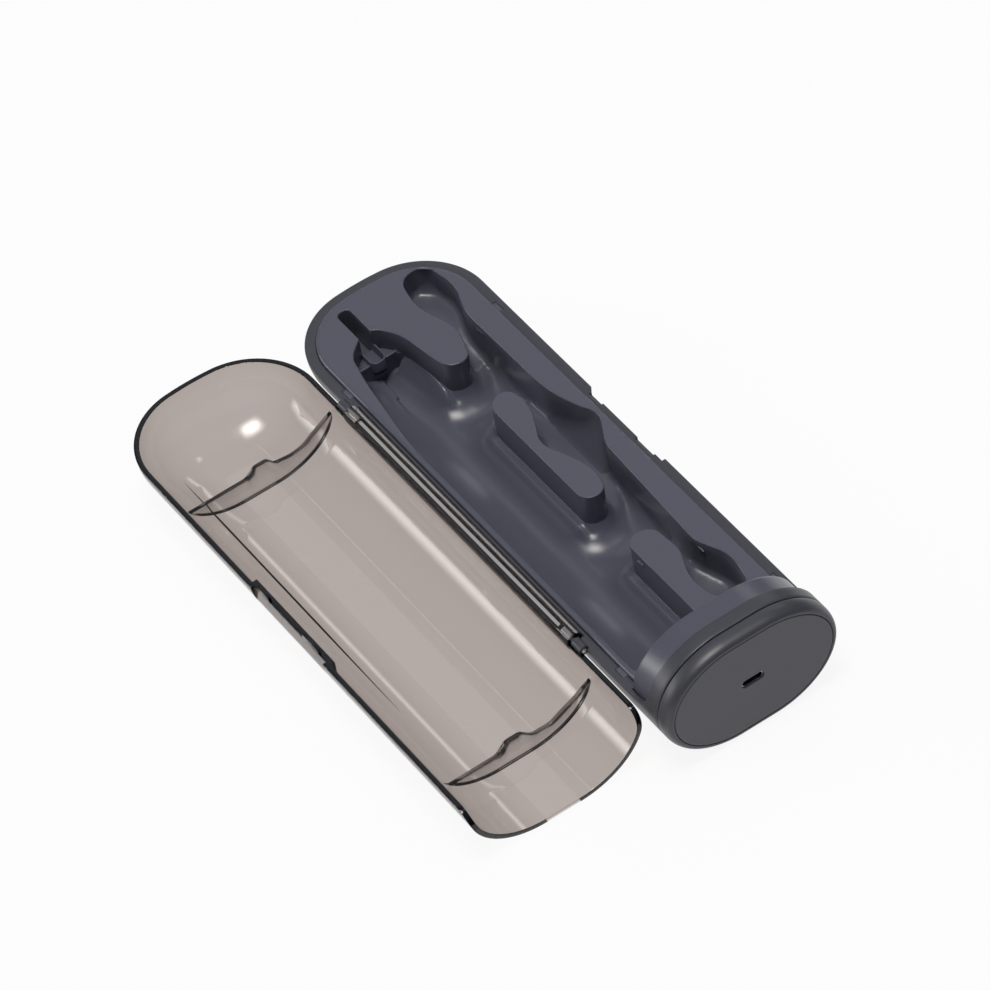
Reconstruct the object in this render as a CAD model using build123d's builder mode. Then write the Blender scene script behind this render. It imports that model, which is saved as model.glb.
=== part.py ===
"""Electric toothbrush travel case, modelled open: a charcoal tray with a sculpted insert and a charging
foot, and a smoked clear lid laid back 180 degrees about the hinge line.

Millimetres. +X runs along the case to the charging foot, +Y from the hinge line to the tray's free side,
+Z up. The origin is on the ground, under the middle of the hinge line. Places along the case are given as
u, the distance from its far (domed) end, and places across the tray as v, from its centre line.
"""

import math
import os

from build123d import *

os.makedirs("parts", exist_ok=True)

# ---- driving dimensions of the case ----
case_length = 248.6  # far end to the charging foot's face
half_width = 36.0
half_height = 24.0  # rim plane to the crown, and to the ground
flat_half = 6.9  # half of the flat strip along the crown
end_bow = 110.0  # radius of the far end seen from above
wall = 2.0
hinge_gap = 1.66  # between the two rims, lid laid open
joint_gap = 0.2  # between the shut lid and the rim and ring

half_turn = 180.0  # degrees

# ---- charging foot, from its face forwards ----
cap_depth = 6.7  # end cap and the groove in front of it
ring_width = 5.9
ring_corner = 8.0  # the ring's edge sweeps into the rim with this radius
neck_length = 17.4  # raised neck, from the groove to the bulkhead's front
bulkhead_thick = 2.0
channel_wall = 2.0  # from the handle channel's end to the bulkhead's front
cap_gap = 0.5  # shadow line between ring and end cap
neck_clear = 0.2
neck_wall = 2.2
neck_front_drop = 1.9  # the neck's scooped front is this much lower than its crown
neck_scoop = 10.7  # length of that scoop at the crown
neck_end_clear = 0.4  # from the neck's back edge to the groove

# ---- rim and insert ----
rim_land = 4.1  # width of the flat rim
rim_thick = 2.2
insert_clear = 0.15
insert_rise = 1.5  # insert's top above the rim
insert_skin = 1.9
shelf_clear = 0.3  # insert's floor above the tray's
floor_flat = 0.2  # the floor's middle is this much flatter than the shell
recess_fillet = 3.0  # where the walls of the recess meet its floor
tab_far_u = 44.3  # tabs that snap the insert into the rim
tab_before_neck = 8.7
tab_size = (5.0, 1.6, 1.0)  # along, across, deep
tab_clear = 0.15

# ---- recess: its outline as corners (u, v, corner radius), walked round the handle channel, the tongue,
# the brush side and the island that grows out of the bulkhead, as drawn for one size of case; fitted() below
# brings them to this one ----
margin = 2.4  # plateau between the handle channel and the insert's edge
drawn_end = 222.5
drawn_left = -29.5
handle_right = 2.0
drawn_recess = (
    (drawn_end, drawn_left, 5.0), (79.5, drawn_left, 120.0), (45.6, -25.0, 40.0), (31.3, -22.0, 10.9),
    (21.7, -10.5, 6.1), (33.4, -2.4, 25.5), (50.0, -0.1, 40.0), (59.2, 1.5, 6.3), (60.1, 10.6, 4.8),
    (44.4, 15.1, 16.1), (25.9, 9.7, 25.0), (10.8, 12.4, 6.8), (9.5, 23.6, 6.1), (26.1, 26.5, 20.0),
    (40.2, 21.5, 24.8), (92.6, 22.2, 60.1), (105.8, 26.9, 9.0), (112.1, 30.4, 9.1), (126.1, 23.3, 16.4),
    (184.3, 20.8, 14.0), (197.7, 26.7, 14.9), (213.6, 23.5, 8.1), (216.1, 13.9, 4.8), (199.7, 8.3, 25.5),
    (184.3, 14.8, 14.1), (169.1, 13.5, 6.0), (166.2, handle_right, 5.6), (drawn_end, handle_right, 5.0),
)
tongue_tip = 60.1  # the middle island and its gaps lie between the tongue and the foot's island
foot_island = 56.3  # length of the foot's island
drawn_island = (
    (84.2, handle_right, 6.6), (77.7, 12.6, 4.8), (94.3, 13.3, 16.2), (111.1, 5.8, 10.3), (132.0, 13.9, 22.5),
    (145.0, 11.3, 4.8), (144.1, handle_right, 5.0),
)
slot_u = (10.0, 38.0)  # slot for the handle's steel shaft
slot_v = (-15.1, -9.7)
slot_floor = -12.5
slot_corner = 2.2
ledge = (31.8, -8.0)  # front edge and height of the ledge under the slot's mouth
rest_far = ((34.0, -10.0), (58.0, -21.0))  # the brush side's floor ramps up at both ends: u, w
rest_before_end = ((39.5, -21.0), (22.5, -10.0))  # the first value is the distance to the channel's end
brush_left = 3.0  # where those ramps begin, across
nub_radius = 0.9
nub_depth = -1.4
drawn_nubs = ((46.0, 21.9, 5.0), (185.0, 21.6, 3.5), (176.5, 1.6, 3.5))  # u, v, length

# ---- hinge ----
notch_far_u = 52.2
notch_before_neck = 30.5
notch_depth = 3.9
notch_wall = 1.1
knuckle_length = 7.3
knuckle_radius = 3.2
knuckle_gap = 0.35
web_drop = 1.3  # the bar's lid side is this much lower between the knuckles
ear_length = 5.6
ear_radius = 2.0
ear_clear = 0.35
pin_radius = 0.9
pin_running = 0.05
pin_reach = 6.2  # into the knuckle

# ---- thumb notch and latch ----
thumb_length = 46.0
thumb_off_middle = -2.3  # its middle from the case's
thumb_depth = 1.4
thumb_wall = (2.5, 9.0)  # thickened wall behind it: thickness, height
hook_from_thumb = ((2.5, 9.5), (31.0, 41.5))  # along the thumb notch
hook_thick = 1.0
hook_drop = 1.5
hook_clear = 0.25

# ---- lid: free edges of its two cross ribs as corners (v, w, corner radius) ----
rib_thick = 1.6
far_rib_u = 43.2
far_rib = ((40, 12.4, 0), (4.8, 12.2, 3.0), (0.7, 8.6, 2.4), (-4.5, 8.6, 2.4), (-7.6, 12.2, 3.0),
           (-14.0, 13.0, 9.0), (-19.6, 12.2, 9.0), (-24.2, 9.2, 5.0), (-40, 8.6, 0))
foot_rib_before_neck = 18.3
foot_rib = ((40, 15.0, 0), (7.2, 14.8, 3.4), (3.0, 10.6, 3.0), (-3.0, 10.6, 3.0), (-7.4, 14.7, 3.4),
            (-15.0, 14.9, 6.0), (-20.4, 12.2, 8.0), (-26.0, 10.2, 8.0), (-40, 9.8, 0))

# ---- end cap, end plate and port ----
cap_round = (2.2, 4.4)  # the cap's rounded edge: radial, along
cap_web = 2.2
plate_thick = 1.8
plate_inset = 2.9  # from the case's outline
plate_gap = 0.2
plate_round = 0.3
spigot_wall = 1.2
spigot_reach = 5.0
port_at = (-0.5, 0.7)
port_size = (8.94, 3.26)
port_clear = 0.2
port_wall = 0.3
port_sunk = 0.6  # mouth of the port below the plate's face
tongue_size = (6.7, 0.7)
tongue_sunk = 0.9
tongue_base = 3.0
tongue_clear = 0.05

# ---- electronics in the foot ----
board_size = (39.0, 26.0)
board_corner = 2.0
board_thick = 1.6
board_to_plate = 10.6  # from the board's back to the end plate's
board_post_radius = 2.1
board_screw_at = ((-16.5, 10.4), (0.5, -10.4), (16.5, 10.4), (16.5, -10.4))
board_screw_radius = 0.9
board_screw_bite = 4.0
cap_post_radius = 2.3
cap_screw_at = (22.5, 10.5)
cap_screw_radius = 1.1
cap_screw_bite = 6.0
screw_clear = 0.15
head_radius = 1.9
head_height = 1.2
head_sunk = 0.2
coil_at = (-13.6, -2.0)  # behind the foot of the handle
coil_radii = (5.0, 8.2)
coil_thick = 3.0
core_thick = 1.3
core_clear = 0.2
carrier_wall = 1.0
lead_radius = 0.4
lead_half_pitch = 1.5
lead_out = 6.6  # from the coil's middle
lead_notch = (2.6, 1.1)  # half across, half high
chip = (7.0, 7.0, 0.9)  # across, high, deep
chip_at = (-6.0, 6.5)
capacitor = (10.0, 8.0, 7.0)
capacitor_at = (8.5, 4.0)
choke = (3.6, 4.5)  # radius, deep
choke_at = (9.0, -7.0)

# ---- worked out ----
far_x = -case_length / 2
tray_y = hinge_gap / 2 + half_width
lid_y = -tray_y
rim_z = half_height
corner_radius = half_width - flat_half  # corner centres lie on the edges of the crown's flat strip
corner_angle = math.degrees(math.asin(flat_half / (end_bow - corner_radius)))
corner_u = end_bow - (end_bow - corner_radius) * math.cos(math.radians(corner_angle))
groove_u = case_length - cap_depth
ring_u = groove_u - ring_width
bulkhead_u = groove_u - neck_length
bay_u = bulkhead_u + bulkhead_thick
channel_end_u = bulkhead_u - channel_wall
neck_scoop_u = bulkhead_u + neck_scoop
tab_u = (tab_far_u, bulkhead_u - tab_before_neck)
notch_u = (notch_far_u, bulkhead_u - notch_before_neck)
foot_rib_u = bulkhead_u - foot_rib_before_neck
thumb_start = case_length / 2 + thumb_off_middle - thumb_length / 2
thumb_u = (thumb_start, thumb_start + thumb_length)
hook_u = [(thumb_start + a, thumb_start + b) for a, b in hook_from_thumb]
rest_foot = [(channel_end_u - before, w) for before, w in rest_before_end]
insert_edge = rim_land + insert_clear
insert_floor = wall + shelf_clear
recess_floor = insert_floor + insert_skin
flat_floor = recess_floor + floor_flat
neck = wall + neck_clear
bay = neck + neck_wall
cap_u = groove_u + cap_gap
plate_u = case_length - plate_thick
board_u = plate_u - board_to_plate
spigot = bay + neck_clear
hinge_v = -tray_y  # the hinge line, at the height of the rim
past = 80.0  # any length past the case, for cuts that run right through
handle_left = -(half_width - rim_land - margin)
widened = handle_left / drawn_left
narrowed = min(1, widened)  # radii draw in with a narrower case, and stay in a wider one
stretched = (channel_end_u - foot_island - tongue_tip) / (drawn_end - foot_island - tongue_tip)


def fitted(table):
    """Brings rows of (u, v, size) from the drawn case to this one. The tongue keeps its place from the far end
    and the foot's island its place from the channel's end; what lies between them spreads out or draws in."""
    rows = []
    for u, v, size in table:
        if u > drawn_end - foot_island - 1:
            rows.append((u + channel_end_u - drawn_end, v * widened, size * narrowed))
        elif u > tongue_tip:
            rows.append((tongue_tip + (u - tongue_tip) * stretched, v * widened, size * min(stretched, narrowed)))
        else:
            rows.append((u, v * widened, size * narrowed))
    return rows


def across(u):
    """The plane square to the case at u: local x is v, local y is the height above the rim."""
    return Plane(origin=(far_x + u, tray_y, rim_z), x_dir=(0, 1, 0), z_dir=(1, 0, 0))


def level(w):
    """The horizontal plane w above the rim, with its origin at the far end on the tray's centre line."""
    return Plane(origin=(far_x, tray_y, rim_z + w))


def side(v=0.0):
    """The upright plane along the case at v: local x is u, local y is the height above the rim."""
    return Plane(origin=(far_x, tray_y + v, rim_z), x_dir=(1, 0, 0), z_dir=(0, -1, 0))


def oval(plane, width, height):
    """Sketch of the case's section: two elliptical halves joined by the crown's flat strips."""
    with BuildSketch(plane) as sketch:
        with BuildLine():
            Line((-flat_half, height), (flat_half, height))
            EllipticalCenterArc((flat_half, 0), width - flat_half, height, start_angle=-90, arc_size=half_turn)
            Line((flat_half, -height), (-flat_half, -height))
            EllipticalCenterArc((-flat_half, 0), width - flat_half, height, start_angle=90, arc_size=half_turn)
        make_face()
    return sketch.sketch


def oval_bar(u_from, u_to, inset, mode=Mode.ADD):
    """A bar along the case with its section drawn in by inset."""
    section = oval(across(u_from), half_width - inset, half_height - inset)
    extrude(section, amount=u_to - u_from, mode=mode)


def plan_outline(plane, inset, u_to):
    """Sketch of the case seen from above, drawn in by inset, with its foot end cut square at u_to."""
    radius = corner_radius - inset
    turn = math.radians(corner_angle)
    tip = (corner_u - radius * math.cos(turn), flat_half + radius * math.sin(turn))
    wide = half_width - inset
    with BuildSketch(plane) as sketch:
        with BuildLine():
            Line((u_to, -wide), (corner_u, -wide))
            RadiusArc((corner_u, -wide), (tip[0], -tip[1]), radius)
            RadiusArc((tip[0], -tip[1]), tip, end_bow - inset)
            RadiusArc(tip, (corner_u, wide), radius)
            Line((corner_u, wide), (u_to, wide))
            Line((u_to, wide), (u_to, -wide))
        make_face()
    return sketch.sketch


def pod(inset, u_to):
    """The case's whole outer form, drawn in by inset: the oval bar with the same oval swept round the far end."""
    height, radius = half_height - inset, corner_radius - inset
    oval_bar(corner_u, u_to, inset)
    for v, start in ((flat_half, 90), (-flat_half, half_turn + corner_angle)):
        turn = math.radians(start)
        origin = (far_x + corner_u, tray_y + v, rim_z)
        plane = Plane(origin=origin, x_dir=(math.cos(turn), math.sin(turn), 0),
                      z_dir=(math.sin(turn), -math.cos(turn), 0))
        with BuildSketch(plane) as quarter:
            with BuildLine():
                EllipticalCenterArc((0, 0), radius, height, start_angle=-90, arc_size=half_turn)
                Line((0, height), (0, -height))
            make_face()
        revolve(quarter.sketch, Axis(origin, (0, 0, 1)), revolution_arc=90 - corner_angle)
    turn = math.radians(half_turn - corner_angle)
    origin = (far_x + end_bow, tray_y, rim_z)
    reach = end_bow - corner_radius
    plane = Plane(origin=origin, x_dir=(math.cos(turn), math.sin(turn), 0),
                  z_dir=(math.sin(turn), -math.cos(turn), 0))
    with BuildSketch(plane) as nose:
        with BuildLine():
            EllipticalCenterArc((reach, 0), radius, height, start_angle=-90, arc_size=half_turn)
            Line((reach, height), (reach - 2, height))
            Line((reach - 2, height), (reach - 2, -height))
            Line((reach - 2, -height), (reach, -height))
        make_face()
    revolve(nose.sketch, Axis(origin, (0, 0, 1)), revolution_arc=2 * corner_angle)


def block(u, v, w, mode=Mode.ADD):
    """A box between pairs of u, v and w."""
    with BuildSketch(level(w[0])) as face:
        with Locations(((u[0] + u[1]) / 2, (v[0] + v[1]) / 2)):
            Rectangle(u[1] - u[0], v[1] - v[0])
    extrude(face.sketch, amount=w[1] - w[0], mode=mode)


def corners(plane, table):
    """Sketch of a closed outline from its corners, each with its own radius."""
    with BuildSketch(plane) as sketch:
        with BuildLine():
            FilletPolyline([(a, b) for a, b, _ in table], radius=[radius for _, _, radius in table], close=True)
        make_face()
    return sketch.sketch


def rod(u, v, w, radius, length, mode=Mode.ADD):
    """A round bar along the case, from u, centred at v and w."""
    with BuildSketch(across(u)) as face:
        with Locations((v, w)):
            Circle(radius)
    extrude(face.sketch, amount=length, mode=mode)


with BuildPart() as inner_pod:
    pod(wall, groove_u + 1)
with BuildPart() as mid_pod:
    pod(wall / 2, ring_u)
with BuildPart() as whole_pod:
    pod(0, groove_u)

# ---- tray shell: lower half of the pod, flat rim, ring round the foot ----
thumb_v = half_width - thumb_depth
rim_v = half_width - rim_land
with BuildPart() as tray_walls:  # thick walls round the hinge notch and behind the thumb notch
    block((notch_u[0] - wall, notch_u[1] + wall), (-half_width, -rim_v), (-notch_depth - wall, 0))
    block((thumb_u[0] - wall, thumb_u[1] + wall), (thumb_v - thumb_wall[0], half_width), (-thumb_wall[1], 0))
    add(mid_pod.part, mode=Mode.INTERSECT)

with BuildPart() as tray_shell:
    add(whole_pod.part)
    add(inner_pod.part, mode=Mode.SUBTRACT)
    with BuildSketch(side(-past)):
        with BuildLine():
            Polyline((-5, 0), (ring_u - ring_corner, 0))
            JernArc((ring_u - ring_corner, 0), (1, 0), ring_corner, 90)
            Polyline((ring_u, ring_corner), (ring_u, past), (-5, past), (-5, 0))
        make_face()
    extrude(amount=-2 * past, mode=Mode.SUBTRACT)
    # the flat rim that the insert drops into
    rim_outer = plan_outline(level(-rim_thick), wall / 2, bulkhead_u - insert_clear)
    rim_inner = plan_outline(level(-rim_thick), rim_land, bulkhead_u + 1)
    extrude(rim_outer - rim_inner, amount=rim_thick)
    add(tray_walls.part)
    for u in tab_u:
        for v in (-1, 1):
            block((u - tab_size[0] / 2 - tab_clear, u + tab_size[0] / 2 + tab_clear),
                  sorted((v * (rim_v - 1), v * (rim_v + tab_size[1] + tab_clear))),
                  (-tab_size[2] - tab_clear, 1), mode=Mode.SUBTRACT)
    # ears that hold the hinge pins
    for u in (notch_u[0] - ear_length, notch_u[1]):
        rod(u, hinge_v, 0, ear_radius, ear_length)
        block((u, u + ear_length), (hinge_v, -half_width + wall / 2), (-ear_radius, 0))
    block(notch_u, (hinge_v - 5, -rim_v - notch_wall), (-notch_depth, 6), mode=Mode.SUBTRACT)
    block(thumb_u, (thumb_v, half_width + 5), (-past, past), mode=Mode.SUBTRACT)
    for u in hook_u:
        block((u[0] - hook_clear, u[1] + hook_clear), (thumb_v - hook_thick - hook_clear, half_width + 5),
              (-hook_drop - hook_clear, 5), mode=Mode.SUBTRACT)
    for u in (notch_u[0] - ear_length, notch_u[1]):
        rod(u - 1, hinge_v, 0, pin_radius, ear_length + 2, mode=Mode.SUBTRACT)
tray_shell.part.label = "tray_shell"
export_step(tray_shell.part, "parts/tray_shell.step")

# ---- tray insert: one moulding with the channels, the islands and the neck of the foot ----
with BuildPart() as recess_pod:
    pod(recess_floor, ring_u)

with BuildPart() as recess:
    recess_plan = corners(level(flat_floor - half_height), fitted(drawn_recess))
    island_plan = corners(level(flat_floor - half_height), fitted(drawn_island))
    extrude(recess_plan - island_plan, amount=half_height + insert_rise + 1)
    fillet(recess.faces().sort_by(Axis.Z)[0].edges(), recess_fillet * narrowed)
    add(recess_pod.part, mode=Mode.INTERSECT)
    block((0, ledge[0]), (handle_left, 0), (-half_height, ledge[1]), mode=Mode.SUBTRACT)
    for ramp, end in ((rest_far, 0), (rest_foot[::-1], ring_u)):
        with BuildSketch(side(brush_left)):
            with BuildLine():
                Polyline((end, ramp[0][1]), ramp[0], ramp[1], (ramp[1][0], -half_height), (end, -half_height),
                         close=True)
            make_face()
        extrude(amount=-half_width, mode=Mode.SUBTRACT)
    with BuildSketch(level(slot_floor)):
        with Locations((sum(slot_u) / 2, sum(slot_v) / 2)):
            RectangleRounded(slot_u[1] - slot_u[0], slot_v[1] - slot_v[0], slot_corner)
    extrude(amount=half_height)

with BuildPart() as neck_scoop:
    loft([oval(across(bulkhead_u), half_width - wall, half_height - neck - neck_front_drop),
          oval(across(neck_scoop_u), half_width + 5, half_height - neck + 0.1)])
    oval_bar(neck_scoop_u, groove_u, 0)

with BuildPart() as neck_bar:
    oval_bar(bulkhead_u, groove_u - neck_end_clear, neck)
    add(neck_scoop.part, mode=Mode.INTERSECT)

with BuildPart() as tray_insert:
    pod(insert_floor, bulkhead_u + 1)
    extrude(plan_outline(level(-half_height), insert_edge, bulkhead_u), amount=half_height + insert_rise,
            mode=Mode.INTERSECT)
    add(neck_bar.part)
    add(recess.part, mode=Mode.SUBTRACT)
    oval_bar(bay_u, groove_u, bay, mode=Mode.SUBTRACT)
    for u in tab_u:
        for v in (-1, 1):
            block((u - tab_size[0] / 2, u + tab_size[0] / 2), sorted((v * (rim_v - 1), v * (rim_v + tab_size[1]))),
                  (-tab_size[2], 0))
    for u, v, length in fitted(drawn_nubs):
        rod(u, v, nub_depth, nub_radius, length)
    for v, w in board_screw_at:
        rod(bay_u, v, w, board_post_radius, board_u - bay_u)
        rod(board_u - board_screw_bite, v, w, board_screw_radius, board_screw_bite, mode=Mode.SUBTRACT)
    for v in (-cap_screw_at[0], cap_screw_at[0]):
        for w in (-cap_screw_at[1], cap_screw_at[1]):
            rod(bay_u, v, w, cap_post_radius, plate_u - cap_web - bay_u)
            rod(plate_u - cap_web - cap_screw_bite, v, w, cap_screw_radius, cap_screw_bite, mode=Mode.SUBTRACT)
tray_insert.part.label = "tray_insert"
export_step(tray_insert.part, "parts/tray_insert.step")

# ---- lid: modelled shut, then laid open about the hinge line ----
with BuildPart() as lid_walls:
    block((thumb_u[0] - wall, thumb_u[1] + wall), (thumb_v - thumb_wall[0], half_width),
          (joint_gap, thumb_wall[1]))
    for u, edge in ((far_rib_u, far_rib), (foot_rib_u, foot_rib)):
        extrude(corners(across(u), edge + ((-40, 40, 0), (40, 40, 0))), amount=rib_thick)
    add(mid_pod.part, mode=Mode.INTERSECT)

with BuildPart() as shut_lid:
    add(whole_pod.part)
    add(inner_pod.part, mode=Mode.SUBTRACT)
    with BuildSketch(side(-past)):
        with BuildLine():
            Polyline((-5, joint_gap), (ring_u - ring_corner, joint_gap))
            JernArc((ring_u - ring_corner, joint_gap), (1, 0), ring_corner - joint_gap, 90)
            Polyline((ring_u - joint_gap, ring_corner), (ring_u - joint_gap, past), (-5, past), (-5, joint_gap))
        make_face()
    extrude(amount=-2 * past, mode=Mode.INTERSECT)
    add(lid_walls.part)
    block(thumb_u, (thumb_v, half_width + 5), (-past, past), mode=Mode.SUBTRACT)
    for u in hook_u:
        block(u, (thumb_v - hook_thick, thumb_v), (-hook_drop, thumb_wall[1] / 2))
    for u in (notch_u[0] - ear_length, notch_u[1]):
        rod(u - ear_clear, hinge_v, 0, ear_radius + ear_clear, ear_length + 2 * ear_clear, mode=Mode.SUBTRACT)
    bar_u = (notch_u[0] + knuckle_gap, notch_u[1] - knuckle_gap)
    rod(bar_u[0], hinge_v, 0, knuckle_radius, bar_u[1] - bar_u[0])
    block((bar_u[0] + knuckle_length, bar_u[1] - knuckle_length), (hinge_v, hinge_v + knuckle_radius),
          (-knuckle_radius, web_drop - knuckle_radius), mode=Mode.SUBTRACT)
    for u in (bar_u[0] - 1, bar_u[1] - pin_reach - knuckle_gap):
        rod(u, hinge_v, 0, pin_radius + pin_running, pin_reach + knuckle_gap + 1, mode=Mode.SUBTRACT)
with BuildPart() as lid_shell:
    add(shut_lid.part.rotate(Axis((0, 0, rim_z), (1, 0, 0)), half_turn))
lid_shell.part.label = "lid_shell"
export_step(lid_shell.part, "parts/lid_shell.step")

# ---- hinge pins: pressed into the tray's ears, turning in the lid's knuckles ----
with BuildPart() as hinge_pin_far:
    rod(notch_u[0] - ear_length, hinge_v, 0, pin_radius, ear_length + knuckle_gap + pin_reach)
hinge_pin_far.part.label = "hinge_pin_far"
export_step(hinge_pin_far.part, "parts/hinge_pin_far.step")

with BuildPart() as hinge_pin_foot:
    rod(bar_u[1] - pin_reach, hinge_v, 0, pin_radius, ear_length + knuckle_gap + pin_reach)
hinge_pin_foot.part.label = "hinge_pin_foot"
export_step(hinge_pin_foot.part, "parts/hinge_pin_foot.step")

# ---- end cap: rounded ring with a web that the screws clamp, and a spigot into the neck ----
cap_holes = [(v, w) for v in (-cap_screw_at[0], cap_screw_at[0]) for w in (-cap_screw_at[1], cap_screw_at[1])]
with BuildPart() as end_cap:
    round_u = case_length - cap_round[1]
    oval_bar(cap_u, round_u, 0)
    sections = []
    for step in range(5):
        turn = math.radians(22.5 * step)
        inset = cap_round[0] * (1 - math.cos(turn))
        sections.append(oval(across(round_u + cap_round[1] * math.sin(turn)), half_width - inset, half_height - inset))
    loft(sections)
    oval_bar(cap_u - spigot_reach, cap_u, spigot)
    oval_bar(cap_u - spigot_reach, plate_u - cap_web, spigot + spigot_wall, mode=Mode.SUBTRACT)
    oval_bar(plate_u, case_length + 1, plate_inset - plate_gap, mode=Mode.SUBTRACT)
    with BuildSketch(across(plate_u)):
        with Locations(port_at):
            SlotOverall(port_size[0] + 4 * port_clear, port_size[1] + 4 * port_clear)
    extrude(amount=-cap_web, mode=Mode.SUBTRACT)
    for v, w in cap_holes:
        rod(plate_u - cap_web, v, w, cap_screw_radius + screw_clear, cap_web, mode=Mode.SUBTRACT)
        rod(plate_u - head_height - head_sunk, v, w, head_radius + screw_clear, head_height + head_sunk,
            mode=Mode.SUBTRACT)
end_cap.part.label = "end_cap"
export_step(end_cap.part, "parts/end_cap.step")

with BuildPart() as end_plate:
    oval_bar(plate_u, case_length, plate_inset)
    with BuildSketch(across(plate_u)):
        with Locations(port_at):
            SlotOverall(port_size[0] + 2 * port_clear, port_size[1] + 2 * port_clear)
    extrude(amount=plate_thick, mode=Mode.SUBTRACT)
    fillet(end_plate.faces().sort_by(Axis.X)[-1].outer_wire().edges(), plate_round)
end_plate.part.label = "end_plate"
export_step(end_plate.part, "parts/end_plate.step")

# ---- charging port: a receptacle standing on the board ----
board_face = board_u + board_thick
with BuildPart() as usb_port_shell:
    with BuildSketch(across(board_face)):
        with Locations(port_at):
            SlotOverall(*port_size)
            SlotOverall(port_size[0] - 2 * port_wall, port_size[1] - 2 * port_wall, mode=Mode.SUBTRACT)
    extrude(amount=case_length - port_sunk - board_face)
usb_port_shell.part.label = "usb_port_shell"
export_step(usb_port_shell.part, "parts/usb_port_shell.step")

with BuildPart() as usb_port_tongue:
    with BuildSketch(across(board_face)):
        with Locations(port_at):
            SlotOverall(port_size[0] - 2 * (port_wall + tongue_clear), port_size[1] - 2 * (port_wall + tongue_clear))
    extrude(amount=tongue_base)
    with BuildSketch(across(board_face)):
        with Locations(port_at):
            Rectangle(*tongue_size)
    extrude(amount=case_length - port_sunk - tongue_sunk - board_face)
usb_port_tongue.part.label = "usb_port_tongue"
export_step(usb_port_tongue.part, "parts/usb_port_tongue.step")

# ---- board and what stands on it ----
with BuildPart() as charger_board:
    with BuildSketch(across(board_u)):
        RectangleRounded(*board_size, board_corner)
        with Locations(*board_screw_at):
            Circle(board_screw_radius + screw_clear, mode=Mode.SUBTRACT)
    extrude(amount=board_thick)
charger_board.part.label = "charger_board"
export_step(charger_board.part, "parts/charger_board.step")

with BuildPart() as controller_chip:
    with BuildSketch(across(board_u)):
        with Locations(chip_at):
            Rectangle(chip[0], chip[1])
    extrude(amount=-chip[2])
controller_chip.part.label = "controller_chip"
export_step(controller_chip.part, "parts/controller_chip.step")

with BuildPart() as coil_capacitor:
    with BuildSketch(across(board_u)):
        with Locations(capacitor_at):
            RectangleRounded(capacitor[0], capacitor[1], 0.8)
    extrude(amount=-capacitor[2])
coil_capacitor.part.label = "coil_capacitor"
export_step(coil_capacitor.part, "parts/coil_capacitor.step")

with BuildPart() as input_choke:
    with BuildSketch(across(board_u)):
        with Locations(choke_at):
            Circle(choke[0])
    extrude(amount=-choke[1])
input_choke.part.label = "input_choke"
export_step(input_choke.part, "parts/input_choke.step")

# ---- charging coil, its ferrite core and carrier, on the back of the bulkhead ----
coil_u = bay_u + core_clear
core_u = coil_u + coil_thick + core_clear
carrier_end_u = core_u + core_thick + core_clear
notch_at = (coil_at[0], coil_at[1] + lead_out)
with BuildPart() as charging_coil:
    rod(coil_u, *coil_at, coil_radii[1], coil_thick)
    rod(coil_u, *coil_at, coil_radii[0], coil_thick, mode=Mode.SUBTRACT)
charging_coil.part.label = "charging_coil"
export_step(charging_coil.part, "parts/charging_coil.step")

with BuildPart() as lead_way:
    block((coil_u + coil_thick, board_u), (notch_at[0] - lead_notch[0], notch_at[0] + lead_notch[0]),
          (notch_at[1] - lead_notch[1], notch_at[1] + coil_radii[1]))

with BuildPart() as coil_core:
    rod(core_u, *coil_at, coil_radii[1], core_thick)
    add(lead_way.part, mode=Mode.SUBTRACT)
coil_core.part.label = "coil_core"
export_step(coil_core.part, "parts/coil_core.step")

with BuildPart() as coil_carrier:
    rod(bay_u, *coil_at, coil_radii[1] + core_clear + carrier_wall, carrier_end_u + carrier_wall - bay_u)
    rod(bay_u, *coil_at, coil_radii[1] + core_clear, carrier_end_u - bay_u, mode=Mode.SUBTRACT)
    add(lead_way.part, mode=Mode.SUBTRACT)
coil_carrier.part.label = "coil_carrier"
export_step(coil_carrier.part, "parts/coil_carrier.step")

with BuildPart() as coil_leads:
    for v in (-lead_half_pitch, lead_half_pitch):
        rod(coil_u + coil_thick, notch_at[0] + v, notch_at[1], lead_radius, board_u - coil_u - coil_thick)
coil_leads.part.label = "coil_leads"
export_step(coil_leads.part, "parts/coil_leads.step")

# ---- screws ----
with BuildPart() as board_screws:
    for v, w in board_screw_at:
        rod(board_u - board_screw_bite, v, w, board_screw_radius, board_screw_bite + board_thick)
        rod(board_face, v, w, head_radius, head_height)
board_screws.part.label = "board_screws"
export_step(board_screws.part, "parts/board_screws.step")

with BuildPart() as cap_screws:
    seat_u = plate_u - head_height - head_sunk
    for v, w in cap_holes:
        rod(plate_u - cap_web - cap_screw_bite, v, w, cap_screw_radius, cap_screw_bite + seat_u - plate_u + cap_web)
        rod(seat_u, v, w, head_radius, head_height)
cap_screws.part.label = "cap_screws"
export_step(cap_screws.part, "parts/cap_screws.step")
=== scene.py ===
import math

import bmesh
import bpy
import numpy as np
from mathutils import Matrix, Vector
from mathutils.geometry import delaunay_2d_cdt


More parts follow.
